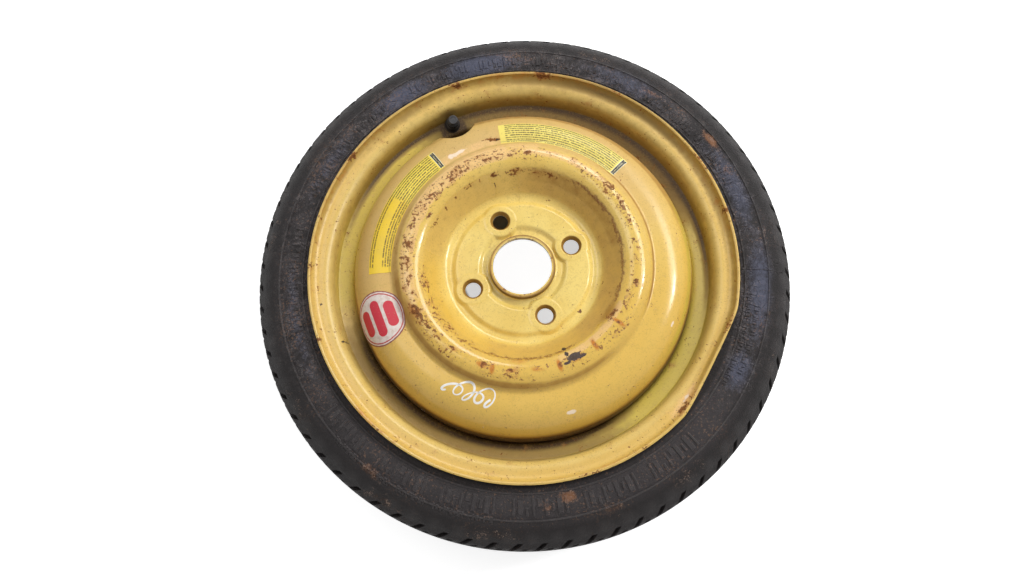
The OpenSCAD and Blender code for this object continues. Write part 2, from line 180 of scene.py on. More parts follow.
class Graph:
    """A tree of nodes that is built up from expressions on its wires."""

    def __init__(self, tree):
        self.tree = tree

    def node(self, kind, settings, inputs, out=0):
        """Adds a node, with its settings first and then the values or links of its inputs."""
        made = self.tree.nodes.new(kind)
        for name, value in settings.items():
            setattr(made, name, value)
        for key, value in inputs.items():
            if isinstance(value, Wire):
                self.tree.links.new(value.socket, made.inputs[key])
            else:
                made.inputs[key].default_value = value
        return Wire(self, made.outputs[out])

    def seen_directly(self):
        """1 for what the camera, a mirror or a glass sees, and 0 for the light that falls on things."""
        kinds = ("Is Camera Ray", "Is Glossy Ray", "Is Transmission Ray")
        camera, mirror, glass = [self.node("ShaderNodeLightPath", {}, {}, out=kind) for kind in kinds]
        return camera.larger(mirror).larger(glass)

    def place(self):
        """The point's own coordinates in metres."""
        return self.node("ShaderNodeTexCoord", {}, {}, out=3)

    def painted(self, field):
        """A value that the mesh carries at each of its points."""
        return self.node("ShaderNodeAttribute", {"attribute_name": field}, {}, out=2)

    def vector(self, operation, first, second=(0, 0, 0), out=0):
        """A vector from two others, or with out=1 a single value."""
        return self.node("ShaderNodeVectorMath", {"operation": operation}, {0: first, 1: second}, out=out)

    def noise(self, size, detail=3.0, rough=0.5):
        """Cloudy noise from 0 to 1, with clouds of a size in millimetres."""
        values = {"Vector": self.place(), "Scale": 1 / (size * MM), "Detail": detail, "Roughness": rough}
        return self.node("ShaderNodeTexNoise", {}, values)

    def step(self, value, low, high):
        """0 below low, 1 above high and a smooth rise between."""
        settings = {"interpolation_type": "SMOOTHSTEP"}
        inputs = {"Value": value, "From Min": low, "From Max": high}
        return self.node("ShaderNodeMapRange", settings, inputs)

    def stripe(self, value, start, full, still_full, end):
        """0 up to start, 1 from full to still_full and 0 again from end on."""
        return self.step(value, start, full) * (1 - self.step(value, still_full, end))

    def ragged(self, field, noises, low, high):
        """A step of a field whose edge is broken up by noises, each given with its strength."""
        for noise, strength in noises:
            field = field + (noise - 0.5) * strength
        return self.step(field, low, high)

    def mix(self, amount, first, second):
        """The first colour where amount is 0 and the second where it is 1."""
        return self.node("ShaderNodeMix", {"data_type": "RGBA"}, {0: amount, 6: first, 7: second}, out=2)

    def coated(self, tone, coats):
        """A colour under several coats, each an amount from 0 to 1 and a colour."""
        for amount, coat in coats:
            tone = self.mix(amount, tone, coat)
        return tone

    def bump(self, height, depth, strength=1.0):
        """A normal bent by a height from 0 to 1 that stands for a depth in millimetres."""
        values = {"Height": height, "Distance": depth * MM, "Strength": strength}
        return self.node("ShaderNodeBump", {}, values)


class Finish(Graph):
    """The graph of a material."""

    def __init__(self, name):
        self.material = bpy.data.materials.new(name)
        self.material.use_nodes = True
        super().__init__(self.material.node_tree)
        self.shader = self.tree.nodes["Principled BSDF"]

    def surface(self, **inputs):
        """Sets the shader's inputs, named with _ for a space, and gives back the material."""
        for name, value in inputs.items():
            socket = self.shader.inputs[name.replace("_", " ")]
            if isinstance(value, Wire):
                self.tree.links.new(value.socket, socket)
            else:
                socket.default_value = value
        return self.material


def colour(red, green, blue):
    return (red, green, blue, 1.0)


# Sky and floor.

def white_world():
    """A plain sky: white to look at, and dimmer as a light."""
    world = bpy.data.worlds.new("white_world")
    world.use_nodes = True
    bpy.context.scene.world = world
    graph = Graph(world.node_tree)
    level = graph.node("ShaderNodeMapRange", {}, {"Value": graph.seen_directly(), "To Min": SKY_LIGHT})
    sky = graph.tree.nodes["Background"]
    sky.inputs["Color"].default_value = colour(1, 1, 1)
    graph.tree.links.new(level.socket, sky.inputs["Strength"])


def pale_floor():
    """The floor keeps the wheel's shadow, and what is seen of it is lifted: to near white round the
    wheel and behind the bore, less behind the bolt holes, and not behind the one nearest the valve."""
    finish = Finish("pale_floor")
    place = finish.place()
    behind_hub = (2 * MM, 34 * MM, FLOOR_Z * MM)
    off_hub = finish.vector("DISTANCE", place, behind_hub, out=1)
    northward = finish.node("ShaderNodeSeparateXYZ", {}, {0: place}, out=1)
    hub_patch = 1 - finish.step(off_hub, 66 * MM, 70 * MM)
    less_at_holes = 1 - finish.step(off_hub, 36 * MM, 48 * MM) * 0.36
    south_of_valve = 1 - finish.step(northward, 70 * MM, 76 * MM)
    round_wheel = finish.step(off_hub, 140 * MM, 220 * MM)
    lift = round_wheel * FLOOR_LIFT + hub_patch * less_at_holes * south_of_valve * HUB_LIFT
    finish.surface(
        Base_Color=colour(0.8, 0.8, 0.8), Roughness=1.0, Specular_IOR_Level=0.0,
        Emission_Color=colour(1, 1, 1), Emission_Strength=finish.seen_directly() * lift)
    reach = 6000.0
    mesh = bpy.data.meshes.new("floor")
    corners = [(-reach, -reach), (reach, -reach), (reach, reach), (-reach, reach)]
    mesh.from_pydata([(x * MM, y * MM, FLOOR_Z * MM) for x, y in corners], [], [(0, 1, 2, 3)])
    mesh.materials.append(finish.material)
    floor = bpy.data.objects.new("floor", mesh)
    bpy.context.scene.collection.objects.link(floor)


for leftover in ("Cube", "Light", "Camera"):
    if leftover in bpy.data.objects:
        bpy.data.objects.remove(bpy.data.objects[leftover])
bpy.context.scene.view_settings.view_transform = "Standard"
photo_camera()
soft_lamp("key_lamp", azimuth=44, elevation=47, distance=1.6, wide=2.1, tall=0.5, power=20.5)
soft_lamp("window_lamp", azimuth=9, elevation=40, distance=1.8, wide=0.2, tall=0.2, power=5.5)
soft_lamp("fill_lamp", azimuth=150, elevation=66, distance=1.8, wide=0.9, tall=0.9, power=5.5)
white_world()
pale_floor()


# Lines, grids and marks.

def smooth(x):
    """0 below 0, 1 above 1 and 3x^2 - 2x^3 between."""
    x = np.clip(x, 0, 1)
    return x * x * (3 - 2 * x)


def apart(angle, other):
    """How far one angle is past another, from -180 to 180."""
    return (angle - other + 180) % 360 - 180


def bent_line(corners, fineness=2.0):
    """A line through corners [radius, height, bend]. Each corner becomes an arc of the bend's
    radius that touches both its sides, so its centre stands square to the side at the arc's start:
    start + bend x normal, with start = corner - bend x tan(half the turn) x direction."""
    corners = np.array(corners, float)
    sides = np.diff(corners[:, :2], axis=0)
    headings = np.unwrap(np.arctan2(sides[:, 1], sides[:, 0]))
    rows = [np.array([[*corners[0, :2], headings[0]]])]
    for corner, before, after in zip(corners[1:-1], headings[:-1], headings[1:]):
        turning = after - before
        hand = np.sign(turning)
        direction = np.array([np.cos(before), np.sin(before)])
        start = corner[:2] - corner[2] * np.tan(abs(turning) / 2) * direction
        centre = start + hand * corner[2] * np.array([-direction[1], direction[0]])
        at = np.linspace(before, after, 2 + int(abs(math.degrees(turning)) / fineness))
        arc = centre + hand * corner[2] * np.stack([np.sin(at), -np.cos(at)], axis=1)
        rows.append(np.column_stack([arc, at]))
    rows.append(np.array([[*corners[-1, :2], headings[-1]]]))
    return np.concatenate(rows)


def both_halves(corners):
    """The corners of one half of the tyre, followed by their mirror images."""
    half = np.array(corners, float)
    mirrored = half[-2::-1] * [1, -1, 1]
    return np.concatenate([half, mirrored]) + [0, MIDDLE, 0]


def run_along(line):
    """The distance along the line to each of its points."""
    return np.concatenate([[0], np.cumsum(np.hypot(*np.diff(line[:, :2], axis=0).T))])


def spaced(line, gap, bend_gap):
    """The same line with its points an even effort apart, where effort is the sum of
    length / gap and turning / bend_gap, and gap may be a function of the points."""
    length = run_along(line)
    at = np.union1d(length, np.arange(0, length[-1], 0.5))
    fine = np.column_stack([np.interp(at, length, column) for column in line.T])
    step = np.diff(fine, axis=0)
    middle = (fine[1:] + fine[:-1]) / 2
    wanted = gap(middle) if callable(gap) else gap
    effort = np.hypot(step[:, 0], step[:, 1]) / wanted + abs(step[:, 2]) / math.radians(bend_gap)
    total = np.concatenate([[0], np.cumsum(effort)])
    even = np.linspace(0, total[-1], int(np.ceil(total[-1])) + 1)
    return np.column_stack([np.interp(even, total, column) for column in fine.T])


def moved(line, by):
    """The line moved to its left by a distance."""
    radius, height, heading = line.T
    return np.column_stack([radius - by * np.sin(heading), height + by * np.cos(heading), heading])


def polar(radius, angle, height):
    """Points x = r cos a, y = r sin a, z, from whole arrays."""
    a = np.radians(angle)
    return np.stack(np.broadcast_arrays(radius * np.cos(a), radius * np.sin(a), height), axis=-1)


def polar_of(points):
    """The radius and the angle of whole arrays of points."""
    x, y = points[..., 0], points[..., 1]
    return np.hypot(x, y), np.degrees(np.arctan2(y, x))


def over_line(line, radius, angle, over):
    """Points that stand over a section line by a distance square to it, at radii and angles. The
    line's radius has to grow all along it."""
    heading = np.interp(radius, line[:, 0], line[:, 2])
    height = np.interp(radius, line[:, 0], line[:, 1])
    return polar(radius - over * np.sin(heading), angle, height + over * np.cos(heading))


def grid_faces(rows, columns, closed_rows=False, closed_columns=False):
    """The four-sided faces of a grid, whose outside is on the left of its columns' lines."""
    i = np.arange(rows if closed_rows else rows - 1)[:, None]
    j = np.arange(columns if closed_columns else columns - 1)
    i2 = (i + 1) % rows
    j2 = (j + 1) % columns
    corners = [i * columns + j, i2 * columns + j, i2 * columns + j2, i * columns + j2]
    return np.stack(corners, axis=-1).reshape(-1, 4)


def slab(top, bottom):
    """A closed slab between two open grids of the same size, as its points and faces."""
    rows, columns = top.shape[:2]
    count = rows * columns
    index = np.arange(count).reshape(rows, columns)
    path = np.concatenate([index[:-1, 0], index[-1, :-1], index[:0:-1, -1], index[0, :0:-1]])
    after = np.roll(path, -1)
    walls = np.stack([after, path, path + count, after + count], axis=-1)
    upper = grid_faces(rows, columns)
    lower = upper[:, ::-1] + count
    points = np.concatenate([top.reshape(-1, 3), bottom.reshape(-1, 3)])
    return points, np.concatenate([upper, lower, walls])


def joined(slabs):
    """Several pieces' points and faces as one."""
    starts = np.cumsum([0] + [len(points) for points, _ in slabs])
    points = np.concatenate([points for points, _ in slabs])
    faces = np.concatenate([faces + start for (_, faces), start in zip(slabs, starts)])
    return points, faces


def piece(name, points, faces, finish, body, stands_for=(), sharp=40, fields=None):
    """Makes a mesh from points in millimetres and faces, with values at its points."""
    mesh = bpy.data.meshes.new(name)
    mesh.from_pydata((np.reshape(points, (-1, 3)) * MM).tolist(), [], faces.tolist())
    for field, values in (fields or {}).items():
        layer = mesh.attributes.new(field, "FLOAT", "POINT")
        layer.data.foreach_set("value", np.ravel(values).astype(np.float32))
    mesh.shade_smooth()
    mesh.set_sharp_from_angle(angle=math.radians(sharp))
    mesh.materials.append(finish)
    made = bpy.data.objects.new(name, mesh)
    bpy.context.scene.collection.objects.link(made)
    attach(made, body)
    if stands_for:
        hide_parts(*stands_for)
    return made


def marks(angle, radius, table):
    """The strongest of several soft marks [angle, radius, arc, width, strength], each
    strength x exp(-(angle off / arc)^2 - (radius off / width)^2)."""
    angle, radius = np.broadcast_arrays(angle, radius)
    field = np.zeros(radius.shape)
    for at, out, arc, width, strength in table:
        spot = np.exp(-(apart(angle, at) / arc) ** 2 - ((radius - out) / width) ** 2)
        field = np.maximum(field, strength * spot)
    return field


def bands(angle, radius, table):
    """The strongest of several soft bands [start, sweep, inner, outer, strength]. Each end fades
    over a quarter of the sweep and each side over 3 mm, both centred on the band's limit. A full
    turn has no ends."""
    angle, radius = np.broadcast_arrays(angle, radius)
    field = np.zeros(radius.shape)
    for start, sweep, inner, outer, strength in table:
        off_middle = abs(apart(angle, start + sweep / 2))
        along = smooth((sweep / 2 - off_middle) / (sweep / 4) + 0.5) if sweep < 360 else 1.0
        across = smooth((radius - inner) / 3 + 0.5) * smooth((outer - radius) / 3 + 0.5)
        field = np.maximum(field, strength * along * across)
    return field


def arcs(angle, table):
    """The strongest of several soft arcs [start, sweep, strength] at every radius."""
    everywhere = [[start, sweep, -9, 9, strength] for start, sweep, strength in table]
    return bands(angle, 0.0, everywhere)


# Finishes.

PAINT_FIELDS = (
    "rust", "orange", "grime_and_shade", "worn", "pale", "green", "bare", "dust", "tide", "stain", "aged")
RUBBER_FIELDS = ("stain", "bloom_and_sheen", "dark", "raised", "smooth_wall")


def yellow_paint(name, tide_r, waviness, stained_side, stain_tone, soil_and_shade_tone):
    """Old yellow enamel on steel. The mesh's fields say how strongly it shows each of these:
    aged, a deeper yellow; dust, a brown haze; green, a greenish overspray; worn, paint rubbed pink,
    and on the disc's crest also a painted pink highlight; stain, the stained side's own tone;
    grime_and_shade, soil and painted shade, which turns black where it is thickest; orange, the
    wash of rust; tide, the tide mark's brown line; rust, smudges and then scabs; pale, scuffs, and
    a few small painted highlights; and bare, paint lost down to dark metal. The tide mark runs round
    at a radius in millimetres and wavers by another length. The stained side is 1 for the outer one
    and -1 for the inner."""
    finish = Finish(name)
    speck = finish.noise(1.6, detail=4, rough=0.65)
    blot = finish.noise(2.8, detail=4, rough=0.6)
    clump = finish.noise(12, detail=2)
    grain = finish.noise(7, detail=5, rough=0.6)
    cloud = finish.noise(38)
    painted = [finish.painted(field) for field in PAINT_FIELDS]
    rust, orange, grime_and_shade, worn, pale, green, bare, dust, tide, stain, aged = painted
    flat_place = finish.vector("MULTIPLY", finish.place(), (1 / MM, 1 / MM, 0))
    from_axis = finish.vector("LENGTH", flat_place, out=1)
    past_tide = from_axis + (grain * 0.7 + blot * 0.3 - 0.5) * waviness - tide_r
    stained = finish.step(past_tide * stained_side, -0.4, 1.0)
    mottled = finish.step(grain * 0.6 + clump * 0.4, 0.3, 0.7)
    tide_line = 1 - finish.step(past_tide.unsigned(), 0.3, 2.2)
    tide_line = tide_line * finish.ragged(tide, [(blot, 2.0), (grain, 1.2)], 0.45, 0.9)
    # Soil, and painted shade where the field is strong, in the soil_and_shade_tone.
    soiled = finish.ragged(grime_and_shade, [(grain, 0.35)], 0.05, 0.65) * 0.85
    smudge = finish.ragged(rust, [(clump, 1.3), (grain, 1.8)], 0.28, 0.90)
    scab = finish.ragged(rust, [(blot, 2.3), (clump, 0.9), (speck, 1.3)], 0.48, 0.62)
    scab = scab.larger(tide_line * finish.step(speck, 0.5, 0.6))
    dark_rust, light_rust = colour(0.065, 0.018, 0.003), colour(0.25, 0.085, 0.018)
    chip = finish.ragged(bare, [(blot, 0.9), (speck, 0.4)], 0.42, 0.52)
    dull_yellow, bright_yellow = colour(0.78, 0.560, 0.140), colour(0.85, 0.650, 0.195)
    paint = finish.coated(finish.mix(finish.step(cloud, 0.35, 0.7), dull_yellow, bright_yellow), [
        (aged * 0.85, colour(0.73, 0.455, 0.075)),
        (dust * (0.35 + cloud * 0.6), colour(0.58, 0.375, 0.150)),
        (finish.ragged(green, [(cloud, 0.3)], 0.1, 0.9) * 0.8, colour(0.64, 0.50, 0.075)),
        (finish.ragged(worn, [(grain, 1.2)], 0.2, 0.8) * 0.8, colour(0.86, 0.55, 0.24)),
        (stained * stain * (0.6 + mottled * 0.5), stain_tone),
        (soiled, soil_and_shade_tone),
        # Black painted shade where grime_and_shade is thickest: the well, the skirt's foot and the scoop.
        (finish.ragged(grime_and_shade, [(grain, 0.2)], 0.6, 1.0) * 0.95, colour(0.045, 0.018, 0.002)),
        (finish.step(grain * 0.4 + speck * 0.6, 0.48, 0.62) * 0.26, colour(0.42, 0.27, 0.06)),
        (finish.ragged(orange, [(grain, 0.8)], 0.15, 0.75) * 0.95, colour(0.55, 0.185, 0.016)),
        (tide_line * 0.75, colour(0.26, 0.115, 0.035)),
        (smudge * 0.62, colour(0.43, 0.180, 0.045)),
        (scab * 0.92, finish.mix(finish.step(speck, 0.38, 0.62), dark_rust, light_rust)),
        (finish.ragged(pale, [(grain, 1.3)], 0.40, 0.62) * 0.9, colour(0.88, 0.73, 0.57)),
        (chip, colour(0.060, 0.038, 0.028)),
        (finish.step(finish.noise(1.0, detail=2), 0.66, 0.72) * 0.6, colour(0.30, 0.15, 0.04))])
    rough = 0.10 + grain * 0.14 + scab * 0.4 + smudge * 0.25
    rough = rough + soiled * 0.3 + dust * 0.3 + stained * stain * 0.3
    relief = finish.noise(2.4, detail=2) * 0.22 + scab * (speck * 0.9 - 0.6) - chip * 0.5
    relief = relief - stained * (tide + stain) * 0.8
    return finish.surface(
        Base_Color=paint, Roughness=rough, Specular_IOR_Level=0.45,
        Normal=finish.bump(relief, 0.25, 0.6))


def tyre_rubber():
    """Weathered rubber: mottled grey with fine cracks, pale dust and brown specks. The mesh's
    fields say how strongly it shows each of these: stain, brown with pale crumbs; bloom_and_sheen, a
    bluish bloomed film that round the far and right side is also a painted sheen; dark, as the tread
    is, and a painted shadow beside the rim's lip; raised, rubbed paler at the shoulder slots and paler
    on the rings, with a painted highlight round the foot of each moulded bar; and smooth_wall,
    plainer and less cracked."""
    finish = Finish("weathered_rubber")
    fine = finish.noise(1.2, detail=4, rough=0.7)
    grain = finish.noise(8, detail=6, rough=0.72)
    cloud = finish.noise(45, detail=4, rough=0.6)
    stain, bloom_and_sheen, dark, raised, smooth_wall = [finish.painted(field) for field in RUBBER_FIELDS]
    smooth_wall = smooth_wall * 0.75
    tone = finish.step(cloud * 0.25 + grain * 0.45 + fine * 0.3, 0.42, 0.58)
    tone = tone * (1 - smooth_wall) + smooth_wall * 0.5
    # Bluish bloomed film, and painted sheen on the far and right side.
    blooming_and_sheen = finish.ragged(bloom_and_sheen, [(grain, 1.4), (fine, 0.6)], 0.25, 0.95)
    dust = finish.step(grain * 0.5 + fine * 0.5, 0.54, 0.63) * (0.6 - smooth_wall * 0.6)
    brown = finish.ragged(stain, [(grain, 1.6), (fine, 0.8)], 0.45, 0.85)
    spots = finish.noise(2.2, detail=4, rough=0.7) + stain * 0.12
    speck = finish.ragged(spots, [(cloud, 0.4)], 0.585, 0.65)
    cells = {"Vector": finish.place(), "Scale": 1 / (7 * MM)}
    between = finish.node("ShaderNodeTexVoronoi", {"feature": "DISTANCE_TO_EDGE"}, cells)
    crack = (1 - finish.step(between, 0.0, 0.07)) * finish.step(grain, 0.46, 0.62)
    crack = crack * (1 - smooth_wall)
    crumb = finish.step(fine * 0.5 + grain * 0.5 + stain * 0.05, 0.575, 0.62)
    crumb = crumb * finish.step(stain, 0.15, 0.5)
    rubber = finish.mix(tone, colour(0.009, 0.007, 0.007), colour(0.060, 0.052, 0.054))
    rubber = finish.coated(rubber, [
        (blooming_and_sheen * 0.9, colour(0.080, 0.086, 0.128)),
        (dust, colour(0.190, 0.165, 0.146)),
        (brown * 0.85, colour(0.21, 0.092, 0.042)),
        (speck * 0.55, colour(0.22, 0.125, 0.080)),
        (dark * (1.0 - tone * 0.2), colour(0.006, 0.004, 0.004)),
        (raised * (0.3 + tone * 0.5), colour(0.150, 0.136, 0.134)),
        (crack * 0.6, colour(0.006, 0.005, 0.005)),
        (crumb * 0.7, colour(0.34, 0.245, 0.195))])
    relief = fine * 0.7 + grain * 1.3 - crack * 0.7
    return finish.surface(
        Base_Color=rubber, Roughness=0.46 + grain * 0.26 + brown * 0.15,
        Specular_IOR_Level=0.26, Normal=finish.bump(relief, 1.3, 0.9))


def printed_label(name, ground, deep, plain_from):
    """A film with rows of small dark dashes along it, a dark end block with pale dashes in a pale
    frame, and a thin dark line near one edge. Past a share of its length it is deeper in colour and
    bare along its middle. The mesh's fields are the distances along and across it in millimetres,
    and the share of its length."""
    finish = Finish(name)
    along = finish.painted("along")
    across = finish.painted("across")
    share = finish.painted("share")
    cloud = finish.noise(14, detail=4)
    row_pitch = 2.3
    rows = across * (1 / row_pitch)
    in_row = finish.stripe(rows.fraction(), 0.12, 0.28, 0.66, 0.84)
    row = rows.whole()
    place = finish.node("ShaderNodeCombineXYZ", {}, {0: along * 0.62 + row * 7.31, 1: row * 3.7})
    coarse = finish.node("ShaderNodeTexNoise", {}, {"Vector": place, "Scale": 1.0, "Detail": 1.0})
    fine = finish.node("ShaderNodeTexNoise", {}, {"Vector": place, "Scale": 2.4, "Detail": 1.0})
    dash = in_row * finish.step(coarse, 0.33, 0.39) * (0.45 + finish.step(fine, 0.42, 0.50) * 0.55)
    inside = finish.stripe(across, 0.5, 0.7, 19.6, 19.8)
    bare_middle = finish.stripe(across, 4.4, 4.6, 11.8, 12.0)
    printed = 1 - finish.step(share, plain_from, plain_from + 0.02) * bare_middle
    printed = printed * finish.step(along, 5.8, 6.2) * (1 - finish.step(share, 0.95, 0.96))
    block = finish.stripe(along, 0.4, 0.5, 4.1, 4.2) * finish.stripe(across, 0.8, 0.9, 19.4, 19.5)
    block_dash = finish.step((across * 0.62).fraction(), 0.35, 0.45) * finish.step(fine, 0.44, 0.5)
    block_dash = block_dash * finish.stripe(along, 1.7, 1.8, 2.9, 3.0) * block
    deeper = finish.ragged(share, [(cloud, 0.2)], plain_from - 0.02, plain_from + 0.06)
    film = finish.coated(finish.mix(deeper, ground, deep), [
        (finish.step(cloud, 0.45, 0.8) * 0.35, colour(0.62, 0.44, 0.09)),
        (dash * inside * printed * 0.9, colour(0.075, 0.045, 0.006)),
        ((1 - finish.step(along, 4.5, 4.7)) * inside, colour(0.85, 0.80, 0.55)),
        (block, colour(0.020, 0.018, 0.012)),
        (block_dash * 0.8, colour(0.75, 0.68, 0.38)),
        (finish.stripe(across, 18.2, 18.4, 18.7, 18.9) * 0.6, colour(0.10, 0.07, 0.02)),
        (finish.step(finish.noise(1.3), 0.66, 0.72) * 0.6, colour(0.35, 0.20, 0.05))])
    return finish.surface(Base_Color=film, Roughness=0.32 + cloud * 0.2)


def sticker_film():
    """A white film with three rounded red bars across it, a thin red ring round them and a dark
    edge. The mesh's fields are the distances from its middle in millimetres."""
    finish = Finish("sticker_film")
    aside = finish.painted("across")
    up = finish.painted("along")
    worn = finish.noise(3.5, detail=4)
    waver = (worn - 0.5) * 0.8
    out = (aside * aside + up * up).root() + waver

    def bar(middle, straight):
        """A bar with round ends at a distance aside, with half the length of its straight part."""
        past_end = (up.unsigned() - straight).larger(0.0)
        off_line = aside - middle
        off_bar = (off_line * off_line + past_end * past_end).root() + waver
        return 1 - finish.step(off_bar, 4.3, 4.7)

    white, soiled = colour(0.76, 0.67, 0.62), colour(0.60, 0.46, 0.38)
    film = finish.coated(finish.mix(finish.step(worn, 0.4, 0.7) * 0.7, white, soiled), [
        (bar(-12.0, 7.6).larger(bar(0.0, 12.6)).larger(bar(12.0, 7.6)), colour(0.56, 0.020, 0.040)),
        (finish.stripe(out, 21.6, 21.9, 22.7, 23.0), colour(0.45, 0.05, 0.05)),
        (finish.step(out, 23.8, 24.1), colour(0.25, 0.06, 0.05)),
        (finish.step(finish.noise(1.1), 0.64, 0.70) * 0.5, colour(0.45, 0.25, 0.12))])
    return finish.surface(Base_Color=film, Roughness=0.35 + worn * 0.15)


def moulded(name, dark, light, rough, depth):
    """Moulded rubber or plastic: two tones in small clouds, and a fine grain."""
    finish = Finish(name)
    grain = finish.noise(0.8)
    tone = finish.mix(finish.step(finish.noise(5), 0.3, 0.7), dark, light)
    bump = finish.bump(grain, depth, 0.5)
    return finish.surface(Base_Color=tone, Roughness=rough + grain * 0.15, Normal=bump)


def tarnished_metal(name, dark, light, rough):
    """Metal with a dull patchy tarnish."""
    finish = Finish(name)
    cloud = finish.noise(2.5, detail=4)
    tone = finish.mix(finish.step(cloud, 0.35, 0.7), light, dark)
    return finish.surface(Base_Color=tone, Metallic=1.0, Roughness=rough + cloud * 0.25)


# The tyre.

SLOT_COUNT = 72
SLOT_SLANT = 42.0
# The middles of the long and of the short slots: radius, and height over the mid-plane.
LONG_SLOT = (246.2, 36.1)
SHORT_SLOT = (248.2, 32.1)
# Across one pitch: wall, floor, floor, wall of the long slot and then of the short one, in degrees.
SLOT_EDGES = [-0.62, -0.44, 0.44, 0.62, 1.90, 2.06, 2.94, 3.10]
LONG_FLOOR = [0, 1, 1, 0, 0, 0, 0, 0]
SHORT_FLOOR = [0, 0, 0, 0, 0, 1, 1, 0]
# How much the rubber is scuffed pale at each of them, below the tread.
SHOULDER_SCUFF = [0, 0, 0.1, 0.3, 1, 1, 0.8, 0.5]
GROOVE_HEIGHTS = (-16, 0, 16)

# Marks are [angle, radius, arc, width, strength], bands [start, sweep, inner, outer, strength] and
# arcs [start, sweep, strength], here and for the rim and the disc.
TYRE_STAINS = [
    [33, 219, 3.5, 6, 1.1], [24, 214, 3, 6, 0.55], [233, 224, 4, 8, 0.7], [279, 207, 2.6, 5, 1.1],
    [274, 213, 1.4, 5, 0.8], [288, 226, 4, 8, 0.6], [238, 240, 5, 8, 0.7], [52, 216, 6, 5, 0.6],
    [70, 232, 5, 6, 0.6], [86, 214, 4, 4, 0.4], [150, 228, 5, 7, 0.35], [170, 236, 8, 7, 0.4],
    [196, 216, 3, 6, 0.4], [212, 236, 7, 8, 0.5], [262, 236, 9, 7, 0.55], [306, 232, 6, 8, 0.5],
    [338, 238, 5, 6, 0.4], [5, 226, 3, 10, 0.45], [12, 202, 3, 5, 0.4]]
# Bluish bloomed patches on the rubber, which round the far and right side also stand in as painted sheen.
TYRE_BLOOM_AND_SHEEN = [
    [100, 212, 12, 16, 0.95], [122, 210, 10, 14, 0.9], [60, 214, 16, 16, 0.65],
    [20, 212, 16, 14, 0.72], [352, 216, 16, 15, 0.8], [331, 212, 6, 13, 0.8],
    [150, 210, 14, 12, 0.55], [192, 211, 20, 8, 0.55]]
SMOOTH_WALL_ARCS = [[212, 115, 1.0]]


def tyre_gap(rows):
    """How far apart the carcass' rows are: close where the slots and the grooves are, and on the
    street side."""
    radius = rows[:, 0]
    height = abs(rows[:, 1] - MIDDLE)
    size = np.where(rows[:, 1] > MIDDLE, 2.2, 4.0)
    size = np.where((radius > 240) & (height < 40), 1.35, size)
    size = np.where((radius > 243) & (height < 28), 1.7, size)
    return np.where(radius < 193, 4.0, size)


def rubber_fields(angle, radius, dark, raised):
    """The fields that the rubber's finish reads. The marks may go by a radius of their own."""
    return {
        "stain": marks(angle, radius, TYRE_STAINS),
        "bloom_and_sheen": marks(angle, radius, TYRE_BLOOM_AND_SHEEN),
        "dark": dark,
        "raised": raised,
        "smooth_wall": arcs(angle, SMOOTH_WALL_ARCS)}


def treaded(radius):
    """How dark the rubber is from the shoulder outwards."""
    return smooth((radius - 219) / 14)


def tyre_carcass(finish):
    """The tyre: its section turned round the axis. Three grooves sink into the tread by a
    trapezoid of the height, and slanted slots sink into both shoulders where the grid's floor
    columns cross them. The grid leans there: angle = column - lean x distance past the slot."""
    outer = spaced(bent_line(both_halves(TYRE_OUTSIDE)), tyre_gap, 9)
    inner = spaced(bent_line(both_halves(TYRE_INSIDE)), 30, 30)[::-1]
    height = outer[:, 1] - MIDDLE
    run = run_along(outer)
    run = run - np.interp(0, -height, run)

    def on_both_shoulders(radius, level):
        """Where the outer line passes a slot's middle on each shoulder, as distances along it."""
        away = [np.hypot(outer[:, 0] - radius, height - side * level) for side in (1, -1)]
        return [run[np.argmin(distance)] for distance in away]

    def slot_depth(places, half, depth):
        """The depth of the slots at each row: flat over their length, with ends 1.4 mm long."""
        return sum(smooth((half - abs(run - at)) / 1.4) for at in places) * depth

    long_at = on_both_shoulders(*LONG_SLOT)
    lean_reach, shoulder_r = 8, 248
    off_slot = sum(np.clip(run - at, -lean_reach, lean_reach) for at in long_at)
    lean = np.degrees(off_slot * math.tan(math.radians(SLOT_SLANT)) / shoulder_r)
    long_depth = slot_depth(long_at, 5.9, 3.5)
    short_depth = slot_depth(on_both_shoulders(*SHORT_SLOT), 3.6, 2.8)
    groove = np.zeros(len(outer))
    for middle in GROOVE_HEIGHTS:
        depth = 4.0 + abs(middle) * 0.06
        trapezoid = np.clip((3.05 - abs(height - middle)) / 1.6, 0, 1)
        groove = np.maximum(groove, depth * trapezoid * (outer[:, 0] > 244))
    pitches = np.arange(SLOT_COUNT)[:, None] * 360 / SLOT_COUNT
    columns = (pitches + np.array(SLOT_EDGES)).ravel()
    sink = long_depth[:, None] * np.tile(LONG_FLOOR, SLOT_COUNT)
    sink = sink + short_depth[:, None] * np.tile(SHORT_FLOOR, SLOT_COUNT)
    sink = np.maximum(sink, groove[:, None])
    sunk_radius = outer[:, :1] + sink * np.sin(outer[:, 2:])
    sunk_height = outer[:, 1:2] - sink * np.cos(outer[:, 2:])
    inner_lean = np.linspace(lean[-1], lean[0], len(inner))
    points = np.concatenate([
        polar(sunk_radius, columns - lean[:, None], sunk_height),
        polar(inner[:, :1], columns - inner_lean[:, None], inner[:, 1:2])])
    faces = grid_faces(len(points), len(columns), True, True)
    line_radius = np.concatenate([outer, inner])[:, :1]
    radius, angle = polar_of(points)
    # Painted shadow on the bead beside the rim's lip, where the lip shades it.
    lip_shadow = smooth((198 - radius) / 1.8) * 0.85
    shoulder = smooth((radius - 231) / 5) * smooth((244 - radius) / 4) * (points[..., 2] > MIDDLE)
    scuffed = 0.18 * shoulder * np.tile(SHOULDER_SCUFF, SLOT_COUNT)
    fields = rubber_fields(angle, line_radius, np.maximum(treaded(radius), lip_shadow), scuffed)
    return piece(
        "tyre_carcass", points, faces, finish, "wheel", ["tyre"], 30, fields)


# The rim.

DENT_AT = 329.5
DENT_HALF = 16.0
DENT_DEPTH = 5.5

